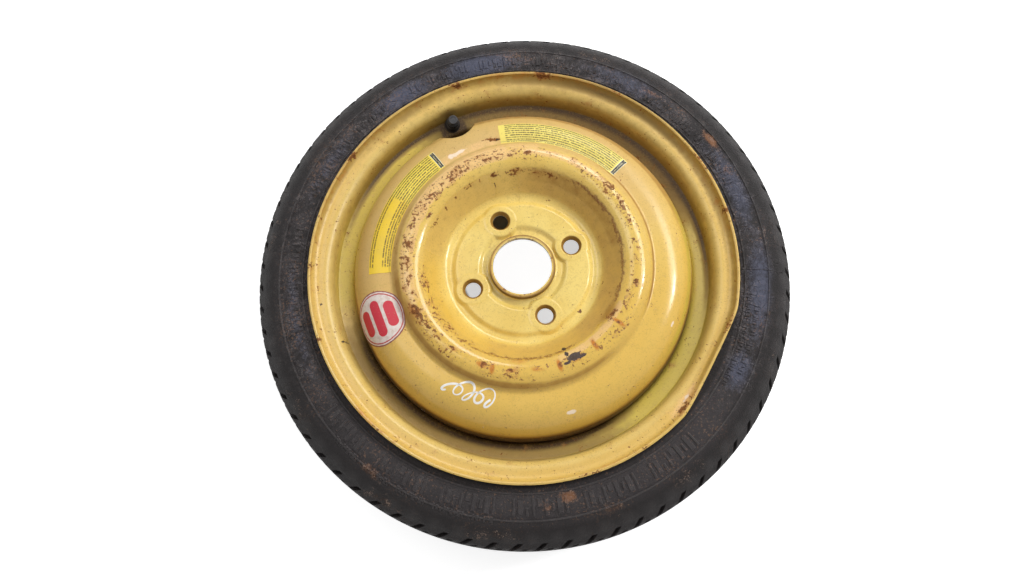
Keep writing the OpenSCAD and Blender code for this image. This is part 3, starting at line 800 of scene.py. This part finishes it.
RIM_RUST = [
    [13, 193, 1.4, 3, 0.8], [82, 193, 3, 3, 0.95], [108, 192, 1.6, 3, 0.8], [145, 193, 2.2, 3, 0.8],
    [228, 193.5, 2.5, 1.6, 0.62], [285, 193.5, 3.5, 1.6, 0.72], [315, 191, 4.5, 3.5, 0.66],
    [179, 193, 1.2, 2.5, 0.6], [200, 193, 1.3, 2.5, 0.6], [340, 192.5, 4, 1.8, 0.6],
    [60, 193.5, 5, 1.6, 0.62], [30, 193.5, 6, 1.6, 0.62], [300, 193.5, 3, 1.6, 0.5],
    [165, 193, 1.4, 2.5, 0.45]]
# Painted shade on the far side's flange, under the lip's curl.
RIM_PAINTED_SHADE = [
    [65, 189, 42, 7, 0.75], [20, 188, 18, 6, 0.4], [125, 189, 22, 6, 0.5], [80, 182, 50, 6, 0.35]]
# Painted shade and shadow in the well: on the far side, beside the disc's skirt, on the shelf where the
# dome's shadow falls at the lower left, and on the lip's inner wall.
RIM_SHADE_BANDS = [
    [350, 172, 168.5, 174, 0.97], [15, 110, 150, 168.5, 0.78], [196, 100, 150, 167, 0.98],
    [196, 104, 166, 174, 0.70], [204, 100, 150, 163, 1.0], [288, 64, 150, 156.5, 1.0],
    [320, 215, 188.6, 193.4, 0.42]]
RIM_GREEN_BANDS = [
    [278, 100, 150, 174, 0.9], [106, 85, 150, 174, 1.0]]
RIM_ORANGE = [
    [150, 192, 40, 4, 0.28], [86, 192, 30, 4, 0.34], [225, 193, 9, 2, 0.55],
    [292, 192, 10, 2, 0.34], [20, 190, 30, 4, 0.3], [318, 189, 3, 4, 0.4]]
RIM_STREAKS = [
    [298, 185, 1.6, 5, 0.45], [219, 185, 1.6, 5, 0.45], [318, 187, 2.4, 3, 0.55]]
RIM_TICKS = [
    [190, 186, 0.7, 0.8, 0.7], [202, 175, 0.6, 3, 0.6], [188, 166, 0.7, 0.8, 0.7],
    [15, 186, 1.2, 0.5, 0.6]]
RIM_WORN = [[317, 187.5, 7, 6, 0.8]]
# Where the seat wall is darker.
RIM_DARK_SEAT_ARCS = [[330, 230, 1.0]]


def street_only(fields, seen, hidden_rust):
    """The fields where seen is 1. Where it is 0 there is rust alone."""
    fields = {name: values * seen for name, values in fields.items()}
    fields["rust"] = fields["rust"] + hidden_rust * (1 - seen)
    return fields


def rim_shell():
    """The rim: its tyre side and its street side turned round the axis as one closed skin, with
    rounded lip edges. The dent pushes the outboard lip in by depth x (1 - (angle off / half)^2)^1.2,
    growing from the flange to the lip's edge."""
    tyre_side = spaced(bent_line(RIM_CORNERS), 4.5, 9)
    street_side = spaced(moved(bent_line(RIM_CORNERS), -RIM_SHEET), 4.5, 9)[::-1]
    lip_r, lip_z, _ = RIM_CORNERS[0]
    rounding = 0.5
    for line in (tyre_side, street_side):
        line[[0, -1], 1] = np.clip(line[[0, -1], 1], FLOOR_Z + rounding, lip_z - rounding)
    top = np.array([[lip_r - RIM_SHEET / 2, lip_z, 0]])
    foot = np.array([[lip_r - RIM_SHEET / 2, FLOOR_Z, 0]])
    loop = np.concatenate([top, tyre_side, foot, street_side])
    section_r = loop[:, :1]
    outboard = loop[:, 1:2] > MIDDLE
    angle = np.arange(0, 360, 1.0)
    bow = np.clip(1 - (apart(angle, DENT_AT) / DENT_HALF) ** 2, 0, 1) ** 1.2
    dented_r = section_r - DENT_DEPTH * bow * smooth((section_r - 181) / 12) * outboard
    points = polar(dented_r, angle, loop[:, 1:2])
    faces = grid_faces(len(loop), len(angle), True, True)
    by_valve = np.linalg.norm(points[..., :2] - VALVE_POINT[:2], axis=-1)
    # Painted shade and shadow, from the two tables above.
    grime_and_shade = np.maximum(marks(angle, section_r, RIM_PAINTED_SHADE), bands(angle, section_r, RIM_SHADE_BANDS))
    fields = street_only({
        "rust": np.maximum(marks(angle, section_r, RIM_RUST), 0.08),
        "orange": marks(angle, section_r, RIM_ORANGE),
        # Painted shade in the well round the valve's foot.
        "grime_and_shade": np.maximum(grime_and_shade, smooth((19 - by_valve) / 7)),
        "worn": np.maximum(marks(angle, section_r, RIM_WORN), 0.15),
        "dust": 0.45,
        "tide": 0.0,
        "aged": 0.65 - 0.5 * smooth((184 - section_r) / 6),
        # A darker olive tone on the seat wall outside the line at 172.8 mm, from 330 round to 200
        # degrees.
        "stain": 0.34 * smooth((182 - section_r) / 8) * arcs(angle, RIM_DARK_SEAT_ARCS),
        "pale": marks(angle, section_r, RIM_STREAKS),
        "green": bands(angle, section_r, RIM_GREEN_BANDS),
        "bare": marks(angle, section_r, RIM_TICKS)}, outboard * np.ones(len(angle)), 0.35)
    finish = yellow_paint(
        "rim_paint", tide_r=172.8, waviness=1.0, stained_side=1,
        stain_tone=colour(0.170, 0.100, 0.015), soil_and_shade_tone=colour(0.25, 0.150, 0.030))
    return piece("rim_shell", points, faces, finish, "wheel", ["rim"], 40, fields)


# The pressed disc.

# The flat that carries the bolt holes, from one radius to another, and its rows' spacing.
FLAT_FROM = 34.0
FLAT_TO = 67.0
FLAT_GAP = 0.75

DISC_RUST = [
    [95, 101, 3.5, 2.4, 0.85], [107, 101.5, 3.5, 3, 0.85], [120, 101, 4, 2.4, 0.9],
    [128, 100.5, 2.5, 1.8, 0.9], [134, 103, 2.2, 2.4, 0.75], [141, 103, 1.6, 2.2, 0.75],
    [149, 102, 3.5, 3, 0.7], [160, 105, 4, 4.5, 0.8], [171, 104, 5, 4, 0.75],
    [183, 103, 4, 3.5, 0.48], [190, 103, 4, 3, 0.8], [196, 101.5, 1.8, 1.6, 0.95],
    [206, 104, 7, 5, 0.80], [203, 107, 6, 3, 0.72], [215, 102.5, 1.3, 1.6, 0.95],
    [224, 102, 2.0, 2.4, 0.6], [232, 100.3, 2.6, 2.2, 0.9], [249, 99.6, 2.0, 2.0, 0.95],
    [254, 101, 1.3, 3, 0.8], [263, 100.4, 1.8, 1.6, 0.8], [276, 99.6, 2.2, 1.6, 0.75],
    [287, 101, 1.4, 3, 0.95], [299, 101, 2.0, 2.4, 0.85], [307, 100, 1.1, 2.2, 0.85],
    [323.5, 102, 1.4, 3.0, 0.9], [331, 102, 1.8, 1.6, 0.85], [346.5, 102.5, 1.8, 2.6, 0.95],
    [355, 97, 2.0, 1.4, 0.8], [0, 101, 2.0, 3.0, 0.7], [8, 101.5, 1.4, 2.6, 0.8],
    [19, 103, 4, 3.4, 0.82], [29, 104, 5, 3.6, 0.88], [38, 107, 2.6, 2.0, 0.85],
    [43, 101, 1.2, 1.4, 0.8], [70, 103, 1.2, 2.4, 0.7], [85, 104, 3.0, 3.0, 0.85],
    [152, 94.5, 4, 1.6, 0.8], [106, 88, 2.8, 1.8, 1.0], [106.5, 82, 0.5, 2.6, 1.0],
    [115, 88, 0.8, 1.3, 0.95], [122.5, 88, 3.5, 1.5, 0.9], [133, 87, 1.2, 1.3, 0.85],
    [142, 87, 1.2, 1.3, 0.85], [154, 88, 4, 1.8, 0.7], [325, 93, 4.5, 4, 0.75],
    [295, 99, 7.0, 5.0, 0.74], [320, 66.7, 1.9, 1.7, 1.0], [346, 74.8, 1.2, 1.1, 1.0],
    [300.5, 65.9, 0.8, 0.9, 0.9], [31, 67.5, 0.9, 0.7, 1.0], [47, 67.5, 0.7, 0.6, 1.0],
    [100, 124, 4, 1.6, 0.85], [104, 126, 3, 1.2, 0.8]]
DISC_RUST_BANDS = [
    [80, 160, 98, 110, 0.40], [12, 50, 98, 109, 0.42], [0, 360, 96, 110, 0.26],
    [180, 60, 86, 94, 0.40], [66, 40, 86, 90, 0.42], [250, 30, 96, 108, 0.3]]
DISC_ORANGE = [
    [286.7, 101, 1.3, 6.5, 1.0], [323.7, 101, 1.2, 7, 1.0], [307, 99.5, 1.3, 6, 0.95],
    [296, 101, 5, 3, 0.6], [253.7, 102, 1.4, 5.5, 1.0], [248, 101, 3, 3, 0.8],
    [263, 101, 3, 2.5, 0.55], [276, 100, 4, 3, 0.5], [232, 101, 3, 3, 0.5], [205, 106, 9, 5, 0.4],
    [267, 92, 8, 3, 0.45]]
# Warm brown grime with painted shade: along the crest's outer slope on the left and bottom, in the crease
# at its foot on the right, on the dome's side at the top and on the bowl's wall at the upper right.
DISC_GRIME_AND_SHADE_BANDS = [
    [180, 100, 110.5, 116, 0.50], [262, 50, 111.5, 116, 0.42], [185, 120, 113.5, 116.5, 0.30],
    [150, 50, 112, 117, 0.3], [335, 75, 116.6, 118.8, 0.62], [14, 110, 147, 157, 0.42],
    [5, 80, 82, 92, 0.3]]
DISC_GRIME = [
    [205, 110, 12, 6, 0.55], [326, 90.5, 9, 5, 0.52]]
DISC_TIDE_BANDS = [
    [330, 90, 82, 98, 0.95], [88, 50, 82, 98, 0.3], [48, 45, 84, 96, 0.5], [222, 80, 82, 98, 0.75]]
DISC_STAIN_BANDS = [
    [300, 85, 74, 99, 0.8], [0, 90, 74, 97, 0.75], [205, 110, 84, 97, 0.32],
    [105, 70, 74, 92, 0.45], [245, 60, 74, 90, 0.5]]
# Paint rubbed pink round the crest; the band from 285 degrees on the crest's inner side is also a painted
# pink highlight.
DISC_WEAR_AND_HIGHLIGHT_BANDS = [
    [78, 54, 107, 116, 0.6], [98, 30, 118, 127, 0.55], [88, 120, 97, 110, 0.62],
    [92, 62, 99, 112, 0.85], [45, 45, 101, 109, 0.7], [285, 50, 92, 98.5, 0.7],
    [195, 70, 94, 99, 0.35]]
# Pale scuffs between the labels and on the dome; the spots at 285.5 and 335 degrees are painted
# highlights.
DISC_SCUFFS_AND_HIGHLIGHTS = [
    [117.5, 124.3, 7, 2.1, 0.92], [121, 122.5, 4, 2.4, 0.7], [285.5, 140.5, 2.2, 1.8, 1.0],
    [335, 144, 1.4, 1.6, 0.9], [255, 150, 1.0, 1.2, 0.7], [160, 147, 1.0, 1.2, 0.6]]
DISC_BARE = [
    [295.3, 98.6, 4.0, 4.0, 1.0], [291, 101.3, 2.4, 1.6, 1.0], [298.8, 101.6, 2.8, 1.6, 1.0],
    [292.2, 93.5, 1.1, 3.2, 0.95], [292.6, 88, 1.5, 1.8, 0.95], [320, 66.7, 1.1, 1.0, 0.7],
    [346, 74.8, 0.8, 0.8, 0.8], [99, 123.5, 1.6, 0.7, 0.7], [103, 124.2, 1.2, 0.6, 0.65],
    [106.5, 82, 0.4, 2.4, 0.8], [31, 67.5, 0.8, 0.6, 0.9], [47, 67.5, 0.6, 0.5, 0.9]]
DISC_GREEN_BANDS = [[104, 85, 151, 170, 0.5], [325, 60, 150, 170, 0.7]]
DISC_DUST_BANDS = [[20, 185, 100, 170, 1.0]]
DISC_AGED_BANDS = [[170, 190, 60, 170, 1.0]]
# Where the skirt's foot gets painted shade.
SKIRT_SHADE_ARCS = [[188, 168, 1.0]]


def disc_columns():
    """Angles of the disc's grid: 1.5 degrees apart, 0.75 round each bolt hole and half that at
    the scoop."""
    hole_edge, scoop_edge = 18.75, 8.25
    before = np.arange(-45, -hole_edge, 1.5)
    after = np.arange(hole_edge, 45, 1.5)
    fine = np.arange(-hole_edge, hole_edge, 0.75)
    finest = np.arange(-scoop_edge, scoop_edge, 0.375)
    plain = np.concatenate([before, fine, after])
    at_scoop = np.concatenate([
        before, fine[fine < -scoop_edge], finest, fine[fine >= scoop_edge], after])
    quarters = [at_scoop] + [plain] * 3
    return np.concatenate([at + offsets for at, offsets in zip(BOLT_ANGLES, quarters)])


def ramp(distance, width):
    """0 where the distance is negative, 1 past the width and a straight slope between."""
    return np.clip(distance / width, 0, 1)


def street_rise(radius, from_bolt):
    """Height of the raised ring and the round bosses over the flat, with each nut's cone sunk in."""
    ring = 3.0 * np.minimum(smooth((radius - 36.0) / 6.0), smooth((66.6 - radius) / 6.0))
    boss = 3.3 * smooth((18.8 - from_bolt) / 4.5)
    cone_r = 9.5
    cone = -0.6 + 3.9 * ramp(from_bolt - HOLE_R, cone_r - HOLE_R)
    return np.where(from_bolt < cone_r, cone, np.maximum(ring, boss))


def rear_rise(radius, from_bolt):
    """Height of the rear face over the hub plane: hollow behind the ring and the bosses, with an
    island round each hole."""
    slope = 1.5
    inset = 0.6 * DISC_SHEET
    past_inner = radius - (40 - slope + inset)
    before_outer = 62 + slope - inset - radius
    ring = 3.0 * np.minimum(ramp(past_inner, slope), ramp(before_outer, slope))
    boss = 3.0 * ramp(15.5 + slope - inset - from_bolt, slope)
    return np.where(from_bolt < 11.7, 0.5, np.maximum(ring, boss))


def nearest_bolt(points):
    """Distance to the nearest bolt hole's axis, and that axis' place."""
    centres = polar(BOLT_CIRCLE, np.array(BOLT_ANGLES), 0.0)[:, :2]
    away = np.linalg.norm(points[..., None, :2] - centres, axis=-1)
    return away.min(axis=-1), centres[away.argmin(axis=-1)]


def scooped(points, line, hollow_r):
    """Draws what lies past the valve's scoop back onto it: the scoop is a cylinder of a radius
    round (158, 0) in the valve's direction, so r = 158 cos d - sqrt(radius^2 - (158 sin d)^2)
    at d degrees from it. The first row drawn back takes the height that the section has there."""
    radius, angle = polar_of(points)
    off = np.radians(apart(angle, VALVE_ANGLE))
    inside = hollow_r ** 2 - (SCOOP_CENTRE * np.sin(off)) ** 2
    wall = SCOOP_CENTRE * np.cos(off) - np.sqrt(np.clip(inside, 0, None))
    beyond = (inside > 0) & (abs(off) < 0.3) & (radius > wall)
    first = beyond & ~np.roll(beyond, 1, axis=0)
    dome = line[(line[:, 0] > 120) & (line[:, 1] > -6)]
    dome = dome[np.argsort(dome[:, 0])]
    height = np.where(first, np.interp(wall, dome[:, 0], dome[:, 1]), points[..., 2])
    return polar(np.where(beyond, wall, radius), angle, height)


def disc_side(columns, by, gap, bend_gap, rise, hollow_r):
    """One side of the disc, moved from the section by a distance, as a grid of points. Its flat
    rows have the same radii on both sides. With it come the number of its first flat row and, for
    the flat, which points lie inside a bolt hole. These are moved out to the hole's circle."""
    section = moved(bent_line(DISC_CORNERS), by)
    level = DISC_SHEET + by
    collar = section[:, 0] < FLAT_FROM
    inner = np.concatenate([section[collar], [[FLAT_FROM, level, 0]]])
    outer = np.concatenate([[[FLAT_TO, level, 0]], section[~collar]])
    radii = np.arange(FLAT_FROM, FLAT_TO + 0.01, FLAT_GAP)
    middle = np.column_stack([radii, np.full(len(radii), level), np.zeros(len(radii))])
    inner = spaced(inner, 2.5, bend_gap)[:-1]
    outer = spaced(outer, gap, bend_gap)[1:]
    rows = np.concatenate([inner, middle, outer])
    points = polar(rows[:, :1], columns, rows[:, 1:2])
    flat = points[len(inner):len(inner) + len(middle)]
    away, centres = nearest_bolt(flat)
    inside = away < HOLE_R
    radius, _ = polar_of(flat)
    on_circle = centres + (flat[..., :2] - centres) * (HOLE_R / np.maximum(away, 0.01))[..., None]
    flat[..., :2] = np.where(inside[..., None], on_circle, flat[..., :2])
    flat[..., 2] += rise(radius, np.maximum(away, HOLE_R))
    return scooped(points, rows, hollow_r), len(inner), inside


def disc_faces(inside, street_rows, street_at, rear_rows, rear_at):
    """The faces of the closed skin: the street side's rows are followed by the rear's in reverse.
    Cells wholly inside a hole are left out on both sides, and a wall joins the sides along each
    edge of theirs that no other such cell shares. The last four values are each side's count of
    rows and first flat row."""
    columns = inside.shape[1]
    total = street_rows + rear_rows
    after = np.roll(inside, -1, axis=1)
    row, column = np.nonzero(inside[:-1] & inside[1:] & after[:-1] & after[1:])
    street_cells = (street_at + row) * columns + column
    rear_cells = (total - 2 - rear_at - row) * columns + column
    cells = grid_faces(total, columns, True, True)
    edges = cells[street_cells][:, [[0, 1], [1, 2], [2, 3], [3, 0]]].reshape(-1, 2)
    forwards = edges @ [len(cells), 1]
    backwards = edges @ [1, len(cells)]
    edges = edges[~np.isin(forwards, backwards)]
    opposite = (total - 1 - rear_at + street_at - edges // columns) * columns + edges % columns
    walls = np.concatenate([edges, opposite[:, ::-1]], axis=1)
    kept = np.delete(cells, np.concatenate([street_cells, rear_cells]), axis=0)
    return np.concatenate([kept, walls])


def disc_fields(points, seen):
    """The fields that the paint reads. The grime_and_shade field also darkens the bore and the
    nuts' seats, and is painted shade at the foot of the skirt and in the scoop."""
    radius, angle = polar_of(points)
    height = points[..., 2]
    from_bolt, _ = nearest_bolt(points)
    scoop_at = polar(SCOOP_CENTRE, VALVE_ANGLE, 0.0)[:2]
    from_scoop = np.linalg.norm(points[..., :2] - scoop_at, axis=-1)
    # Painted shade on the foot of the skirt round the near side, where it faces away from the lamps.
    skirt = smooth((10 - height) / 8) * smooth((radius - 150) / 4) * arcs(angle, SKIRT_SHADE_ARCS)
    grime_and_shade = np.maximum.reduce([
        marks(angle, radius, DISC_GRIME), bands(angle, radius, DISC_GRIME_AND_SHADE_BANDS), skirt,
        smooth((9.9 - from_bolt) / 0.8) * 0.7, smooth((30.9 - radius) / 0.8) * 0.85,
        # Painted shade in the scoop under the valve.
        smooth((19 - height) / 7) * (from_scoop < 19.1)])
    rust = np.maximum(marks(angle, radius, DISC_RUST), bands(angle, radius, DISC_RUST_BANDS))
    dusty = 0.1 + 0.9 * bands(angle, radius, DISC_DUST_BANDS)
    aged = 0.55 + 0.45 * bands(angle, radius, DISC_AGED_BANDS)
    return street_only({
        "rust": rust,
        "orange": marks(angle, radius, DISC_ORANGE),
        "grime_and_shade": grime_and_shade,
        "worn": bands(angle, radius, DISC_WEAR_AND_HIGHLIGHT_BANDS),
        "dust": smooth((radius - 108) / 6) * dusty,
        "aged": smooth((radius - 70) / 12) * aged,
        "tide": bands(angle, radius, DISC_TIDE_BANDS),
        "stain": bands(angle, radius, DISC_STAIN_BANDS),
        "pale": marks(angle, radius, DISC_SCUFFS_AND_HIGHLIGHTS),
        "green": bands(angle, radius, DISC_GREEN_BANDS),
        "bare": marks(angle, radius, DISC_BARE)}, seen, 0.3)


def disc_pressing():
    """The disc: its street side and its rear turned round the axis as one closed skin, with the
    bolt holes straight through."""
    columns = disc_columns()
    street, street_at, inside = disc_side(
        columns, by=0.0, gap=2.6, bend_gap=7, rise=street_rise, hollow_r=18.6)
    rear, rear_at, _ = disc_side(
        columns, by=-DISC_SHEET, gap=5.5, bend_gap=12, rise=rear_rise, hollow_r=21.5)
    points = np.concatenate([street, rear[::-1]])
    faces = disc_faces(inside, len(street), street_at, len(rear), rear_at)
    seen = np.ones(points.shape[:2])
    seen[len(street):] = 0.0
    used, renumbered = np.unique(faces, return_inverse=True)
    fields = {name: values.ravel()[used] for name, values in disc_fields(points, seen).items()}
    finish = yellow_paint(
        "disc_paint", tide_r=89.8, waviness=13.0, stained_side=-1,
        stain_tone=colour(0.56, 0.345, 0.100), soil_and_shade_tone=colour(0.30, 0.128, 0.012))
    return piece(
        "disc_pressing", points.reshape(-1, 3)[used], renumbered.reshape(-1, 4), finish, "wheel",
        ["wheel_disc"], 35, fields)


# Labels, sticker and marks.

LABEL_INNER = 118.4
LABEL_OUTER = 138.8
FILM_TOP = 0.2


def dome_line():
    """The disc's street side from the crest outwards, where the films lie."""
    line = spaced(bent_line(DISC_CORNERS), 0.5, 1.0)
    return line[(line[:, 0] > 104) & (line[:, 0] < 157.5)]


def dome_film(name, radius, angle, top, finish, stands_for=(), fields=None):
    """A film on the dome, from 0.02 mm over it up to its top, with fields over its grid."""
    line = dome_line()
    points, faces = slab(over_line(line, radius, angle, top), over_line(line, radius, angle, 0.02))
    shape = np.broadcast(radius, angle).shape
    both_sides = {
        field: np.tile(np.broadcast_to(values, shape).ravel(), 2)
        for field, values in (fields or {}).items()}
    return piece(name, points, faces, finish, "wheel", stands_for, 30, both_sides)


def long_label(name, node, start, sweep, finish):
    """A film with square corners between two radii and two angles. Its length is that of its
    middle."""
    radius = np.linspace(LABEL_INNER, LABEL_OUTER, 12)[:, None]
    angle = np.linspace(start, start + sweep, int(sweep) + 1)
    fields = {
        "along": np.radians(angle - start) * 130, "across": LABEL_OUTER - radius,
        "share": (angle - start) / sweep}
    return dome_film(name, radius, angle, FILM_TOP, finish, [node], fields)


def round_film():
    """The sticker: a square grid drawn to a disc by x = u sqrt(1 - v^2 / 2), y = v sqrt(1 - u^2 / 2),
    laid on the dome. A point's radius r solves x = way(r) - (r - sqrt(r^2 - y^2)) cos lean, where way
    is the distance along the sticker's own plane."""
    at, angle, size = 138.0, 200.5, 25.0
    dome_middle, dome_bend = 127.65, 30
    lean = math.asin((at - dome_middle) / dome_bend)
    line = dome_line()
    fall = line[:, 1] - np.interp(at, line[:, 0], line[:, 1])
    way = (line[:, 0] - at) * math.cos(lean) - fall * math.sin(lean)
    order = np.argsort(way)
    u, v = np.meshgrid(np.linspace(-1, 1, 49), np.linspace(-1, 1, 49), indexing="ij")
    x = u * np.sqrt(1 - v ** 2 / 2) * size
    y = v * np.sqrt(1 - u ** 2 / 2) * size
    radius = np.full(x.shape, at)
    for _ in range(12):
        sagged = x + (radius - np.sqrt(radius ** 2 - y ** 2)) * math.cos(lean)
        radius = np.interp(sagged, way[order], line[order, 0])
    bearing = angle + np.degrees(np.arcsin(y / radius))
    return dome_film(
        "round_film", radius, bearing, FILM_TOP, sticker_film(),
        ["round_sticker"], {"across": x, "along": y})


def marker_scrawl():
    """A white marker's wavy stroke on the dome: a ribbon whose middle runs along an arc and swings
    in and out by a sum of two sines."""
    t = np.linspace(0, 1, 320)
    swing = 2 * math.pi * 4.4 * t
    angle = 238.5 + 19 * t - 2.6 * np.sin(swing)
    radius = 127.0 + 6.2 * np.sin(swing + 1.1) + 3.0 * np.sin(swing / 2)
    middle = polar(radius, angle, 0.0)
    x, y, _ = middle.T
    heading = np.arctan2(np.gradient(y), np.gradient(x))
    half_width = 0.80 + 0.22 * np.sin(2 * math.pi * 3.3 * t)
    leftward = np.stack([-np.sin(heading), np.cos(heading), 0 * t], axis=-1)
    side = np.array([1.0, 0.0, -1.0])[:, None, None]
    out, bearing = polar_of(middle + side * half_width[:, None] * leftward)
    finish = moulded("marker_white", colour(0.80, 0.78, 0.74), colour(0.90, 0.88, 0.84), 0.5, 0.05)
    return dome_film("marker_scrawl", out, bearing, 0.12, finish)


# Rows of raised bars on the side wall: start, sweep, inner and outer radius, and the bars' pitch
# in degrees.
BAR_ROWS = [
    [216, 100, 206, 219, 1.5], [60, 60, 207, 216, 1.3], [128, 32, 206, 213, 1.2],
    [168, 30, 206, 214, 1.4], [326, 26, 203.5, 207.5, 0.8], [330, 20, 211, 215, 0.9],
    [20, 34, 205, 213, 1.2], [222, 40, 222, 226, 0.8], [-3.4, 0.6, 199, 238, 0.6],
    [56, 0.5, 197, 206, 0.5]]
# For each bar in turn: the share of its row that it covers, from and to, and half its share of
# the pitch. One that covers nothing is a gap.
BAR_REACHES = [
    (0, 1, 0.12), (0.1, 0.9, 0.30), (0.55, 1, 0.14), (0, 1, 0.12), (0, 0.45, 0.32), (0, 1, 0.26),
    (0.25, 0.75, 0.14), (0, 1, 0.34), (0, 1, 0.12), (0, 0, 0), (0, 0, 0)]
RING_RADII = [201.5, 223.5]


def moulded_bars(finish):
    """Low raised bars in rows on the side wall, each a small slab whose foot is wider by the draft
    of its sides, and two rings whose section is a flat trapezoid carried all the way round."""
    wall = spaced(bent_line(both_halves(TYRE_OUTSIDE)), 0.5, 2)
    wall = wall[(wall[:, 1] > MIDDLE + 36) & (wall[:, 0] > 190) & (wall[:, 0] < 246)]
    height, sunk, draft = 0.8, -0.3, 0.8
    slabs = []
    raised = []
    for start, sweep, inner, outer, pitch in BAR_ROWS:
        for i in range(max(1, int(sweep / pitch))):
            low, high, half = BAR_REACHES[i % len(BAR_REACHES)]
            if low == high:
                continue
            radius = inner + np.linspace(low, high, 4)[:, None] * (outer - inner)
            angle = start + pitch * (i + 0.5) + np.array([-half, half]) * pitch
            foot_radius = radius + np.linspace(-draft, draft, 4)[:, None]
            foot_angle = angle + np.degrees([-draft, draft]) / outer
            top = over_line(wall, radius, angle, height)
            foot = over_line(wall, foot_radius, foot_angle, sunk)
            slabs.append(slab(top, foot))
            # Painted highlight: the wider foot is paler, so each bar shows a light outline; the top only
            # a little.
            raised.append(np.repeat([0.15, 1.0], angle.size * radius.size))
    around = np.arange(0, 360, 1.5)
    across = np.array([-0.9, -0.5, 0.5, 0.9])[:, None]
    over = np.array([sunk, height, height, sunk])[:, None]
    for middle in RING_RADII:
        ring = over_line(wall, middle + across, around, over).reshape(-1, 3)
        slabs.append((ring, grid_faces(len(across), len(around), True, True)))
        raised.append(np.full(len(ring), 0.4))
    points, faces = joined(slabs)
    radius, angle = polar_of(points)
    fields = rubber_fields(angle, radius, treaded(radius), np.concatenate(raised))
    return piece("moulded_bars", points, faces, finish, "wheel", (), 30, fields)


# The valve.

def valve_frame():
    """The valve's own axes as the rows of a matrix: away from the wheel's axis, across and along
    the valve, which leans in from upright."""
    a = math.radians(VALVE_ANGLE)
    lean = math.radians(VALVE_LEAN)
    away = [math.cos(lean) * math.cos(a), math.cos(lean) * math.sin(a), math.sin(lean)]
    across = [-math.sin(a), math.cos(a), 0]
    return np.array([away, across, np.cross(away, across)])


def spring_coil(finish):
    """The valve core's spring: a round wire swept along a helix, with closed ends, standing along
    the valve near its foot."""
    turns, coil_r, wire_r = 7, 1.15, 0.15
    foot, top = -14.16, -7.02
    turn_steps, sides = 24, 8
    along = np.linspace(0, 1, turns * turn_steps + 1)[:, None]
    around = np.arange(sides) * 2 * math.pi / sides
    radius = coil_r + wire_r * np.cos(around)
    height = foot + wire_r + (top - foot - 2 * wire_r) * along + wire_r * np.sin(around)
    axes = valve_frame()
    points = VALVE_POINT + polar(radius, 360 * turns * along, height) @ axes
    start_cap = np.array([[0, 1, 2, 3], [0, 3, 4, 7], [4, 5, 6, 7]])
    end_cap = start_cap[:, ::-1] + (len(along) - 1) * sides
    walls = grid_faces(len(along), sides, closed_columns=True)
    faces = np.concatenate([walls, start_cap, end_cap])
    made = piece("spring_coil", points, faces, finish, "wheel", ["core_spring"], 50)
    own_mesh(made)


rubber = tyre_rubber()
tyre_carcass(rubber)
rim_shell()
disc_pressing()
long_label("top_film", "top_label", 43, 55, printed_label(
    "top_label_print", colour(0.84, 0.70, 0.14), colour(0.72, 0.52, 0.07), plain_from=1.1))
long_label("left_film", "left_label", 126, 57, printed_label(
    "left_label_print", colour(0.86, 0.67, 0.08), colour(0.84, 0.57, 0.025), plain_from=0.42))
round_film()
marker_scrawl()
moulded_bars(rubber)
spring_coil(tarnished_metal(
    "spring_steel", colour(0.22, 0.21, 0.20), colour(0.50, 0.49, 0.47), 0.25))

# The nodes that show as they come from the CAD, by the finish that they wear.
black_rubber = moulded("black_rubber", colour(0.012, 0.012, 0.013), colour(0.03, 0.028, 0.028), 0.45, 0.1)
cap_plastic = moulded("cap_plastic", colour(0.02, 0.02, 0.022), colour(0.045, 0.043, 0.045), 0.4, 0.06)
brass = tarnished_metal("dull_brass", colour(0.30, 0.20, 0.08), colour(0.62, 0.44, 0.18), 0.3)
rusty_weld = tarnished_metal("weld_paint", colour(0.16, 0.09, 0.03), colour(0.45, 0.30, 0.10), 0.5)
for finish, nodes in (
        (black_rubber, ("valve_grommet", "core_gasket", "cup_gasket", "cap_seal")),
        (cap_plastic, ("valve_cap",)),
        (brass, ("valve_stem", "core_plug", "core_barrel", "core_pin", "core_cup")),
        (rusty_weld, ("weld_beads",))):
    for node in nodes:
        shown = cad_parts[node]
        if not shown.material_slots:
            shown.data.materials.append(finish)
        for material_slot in shown.material_slots:
            material_slot.material = finish
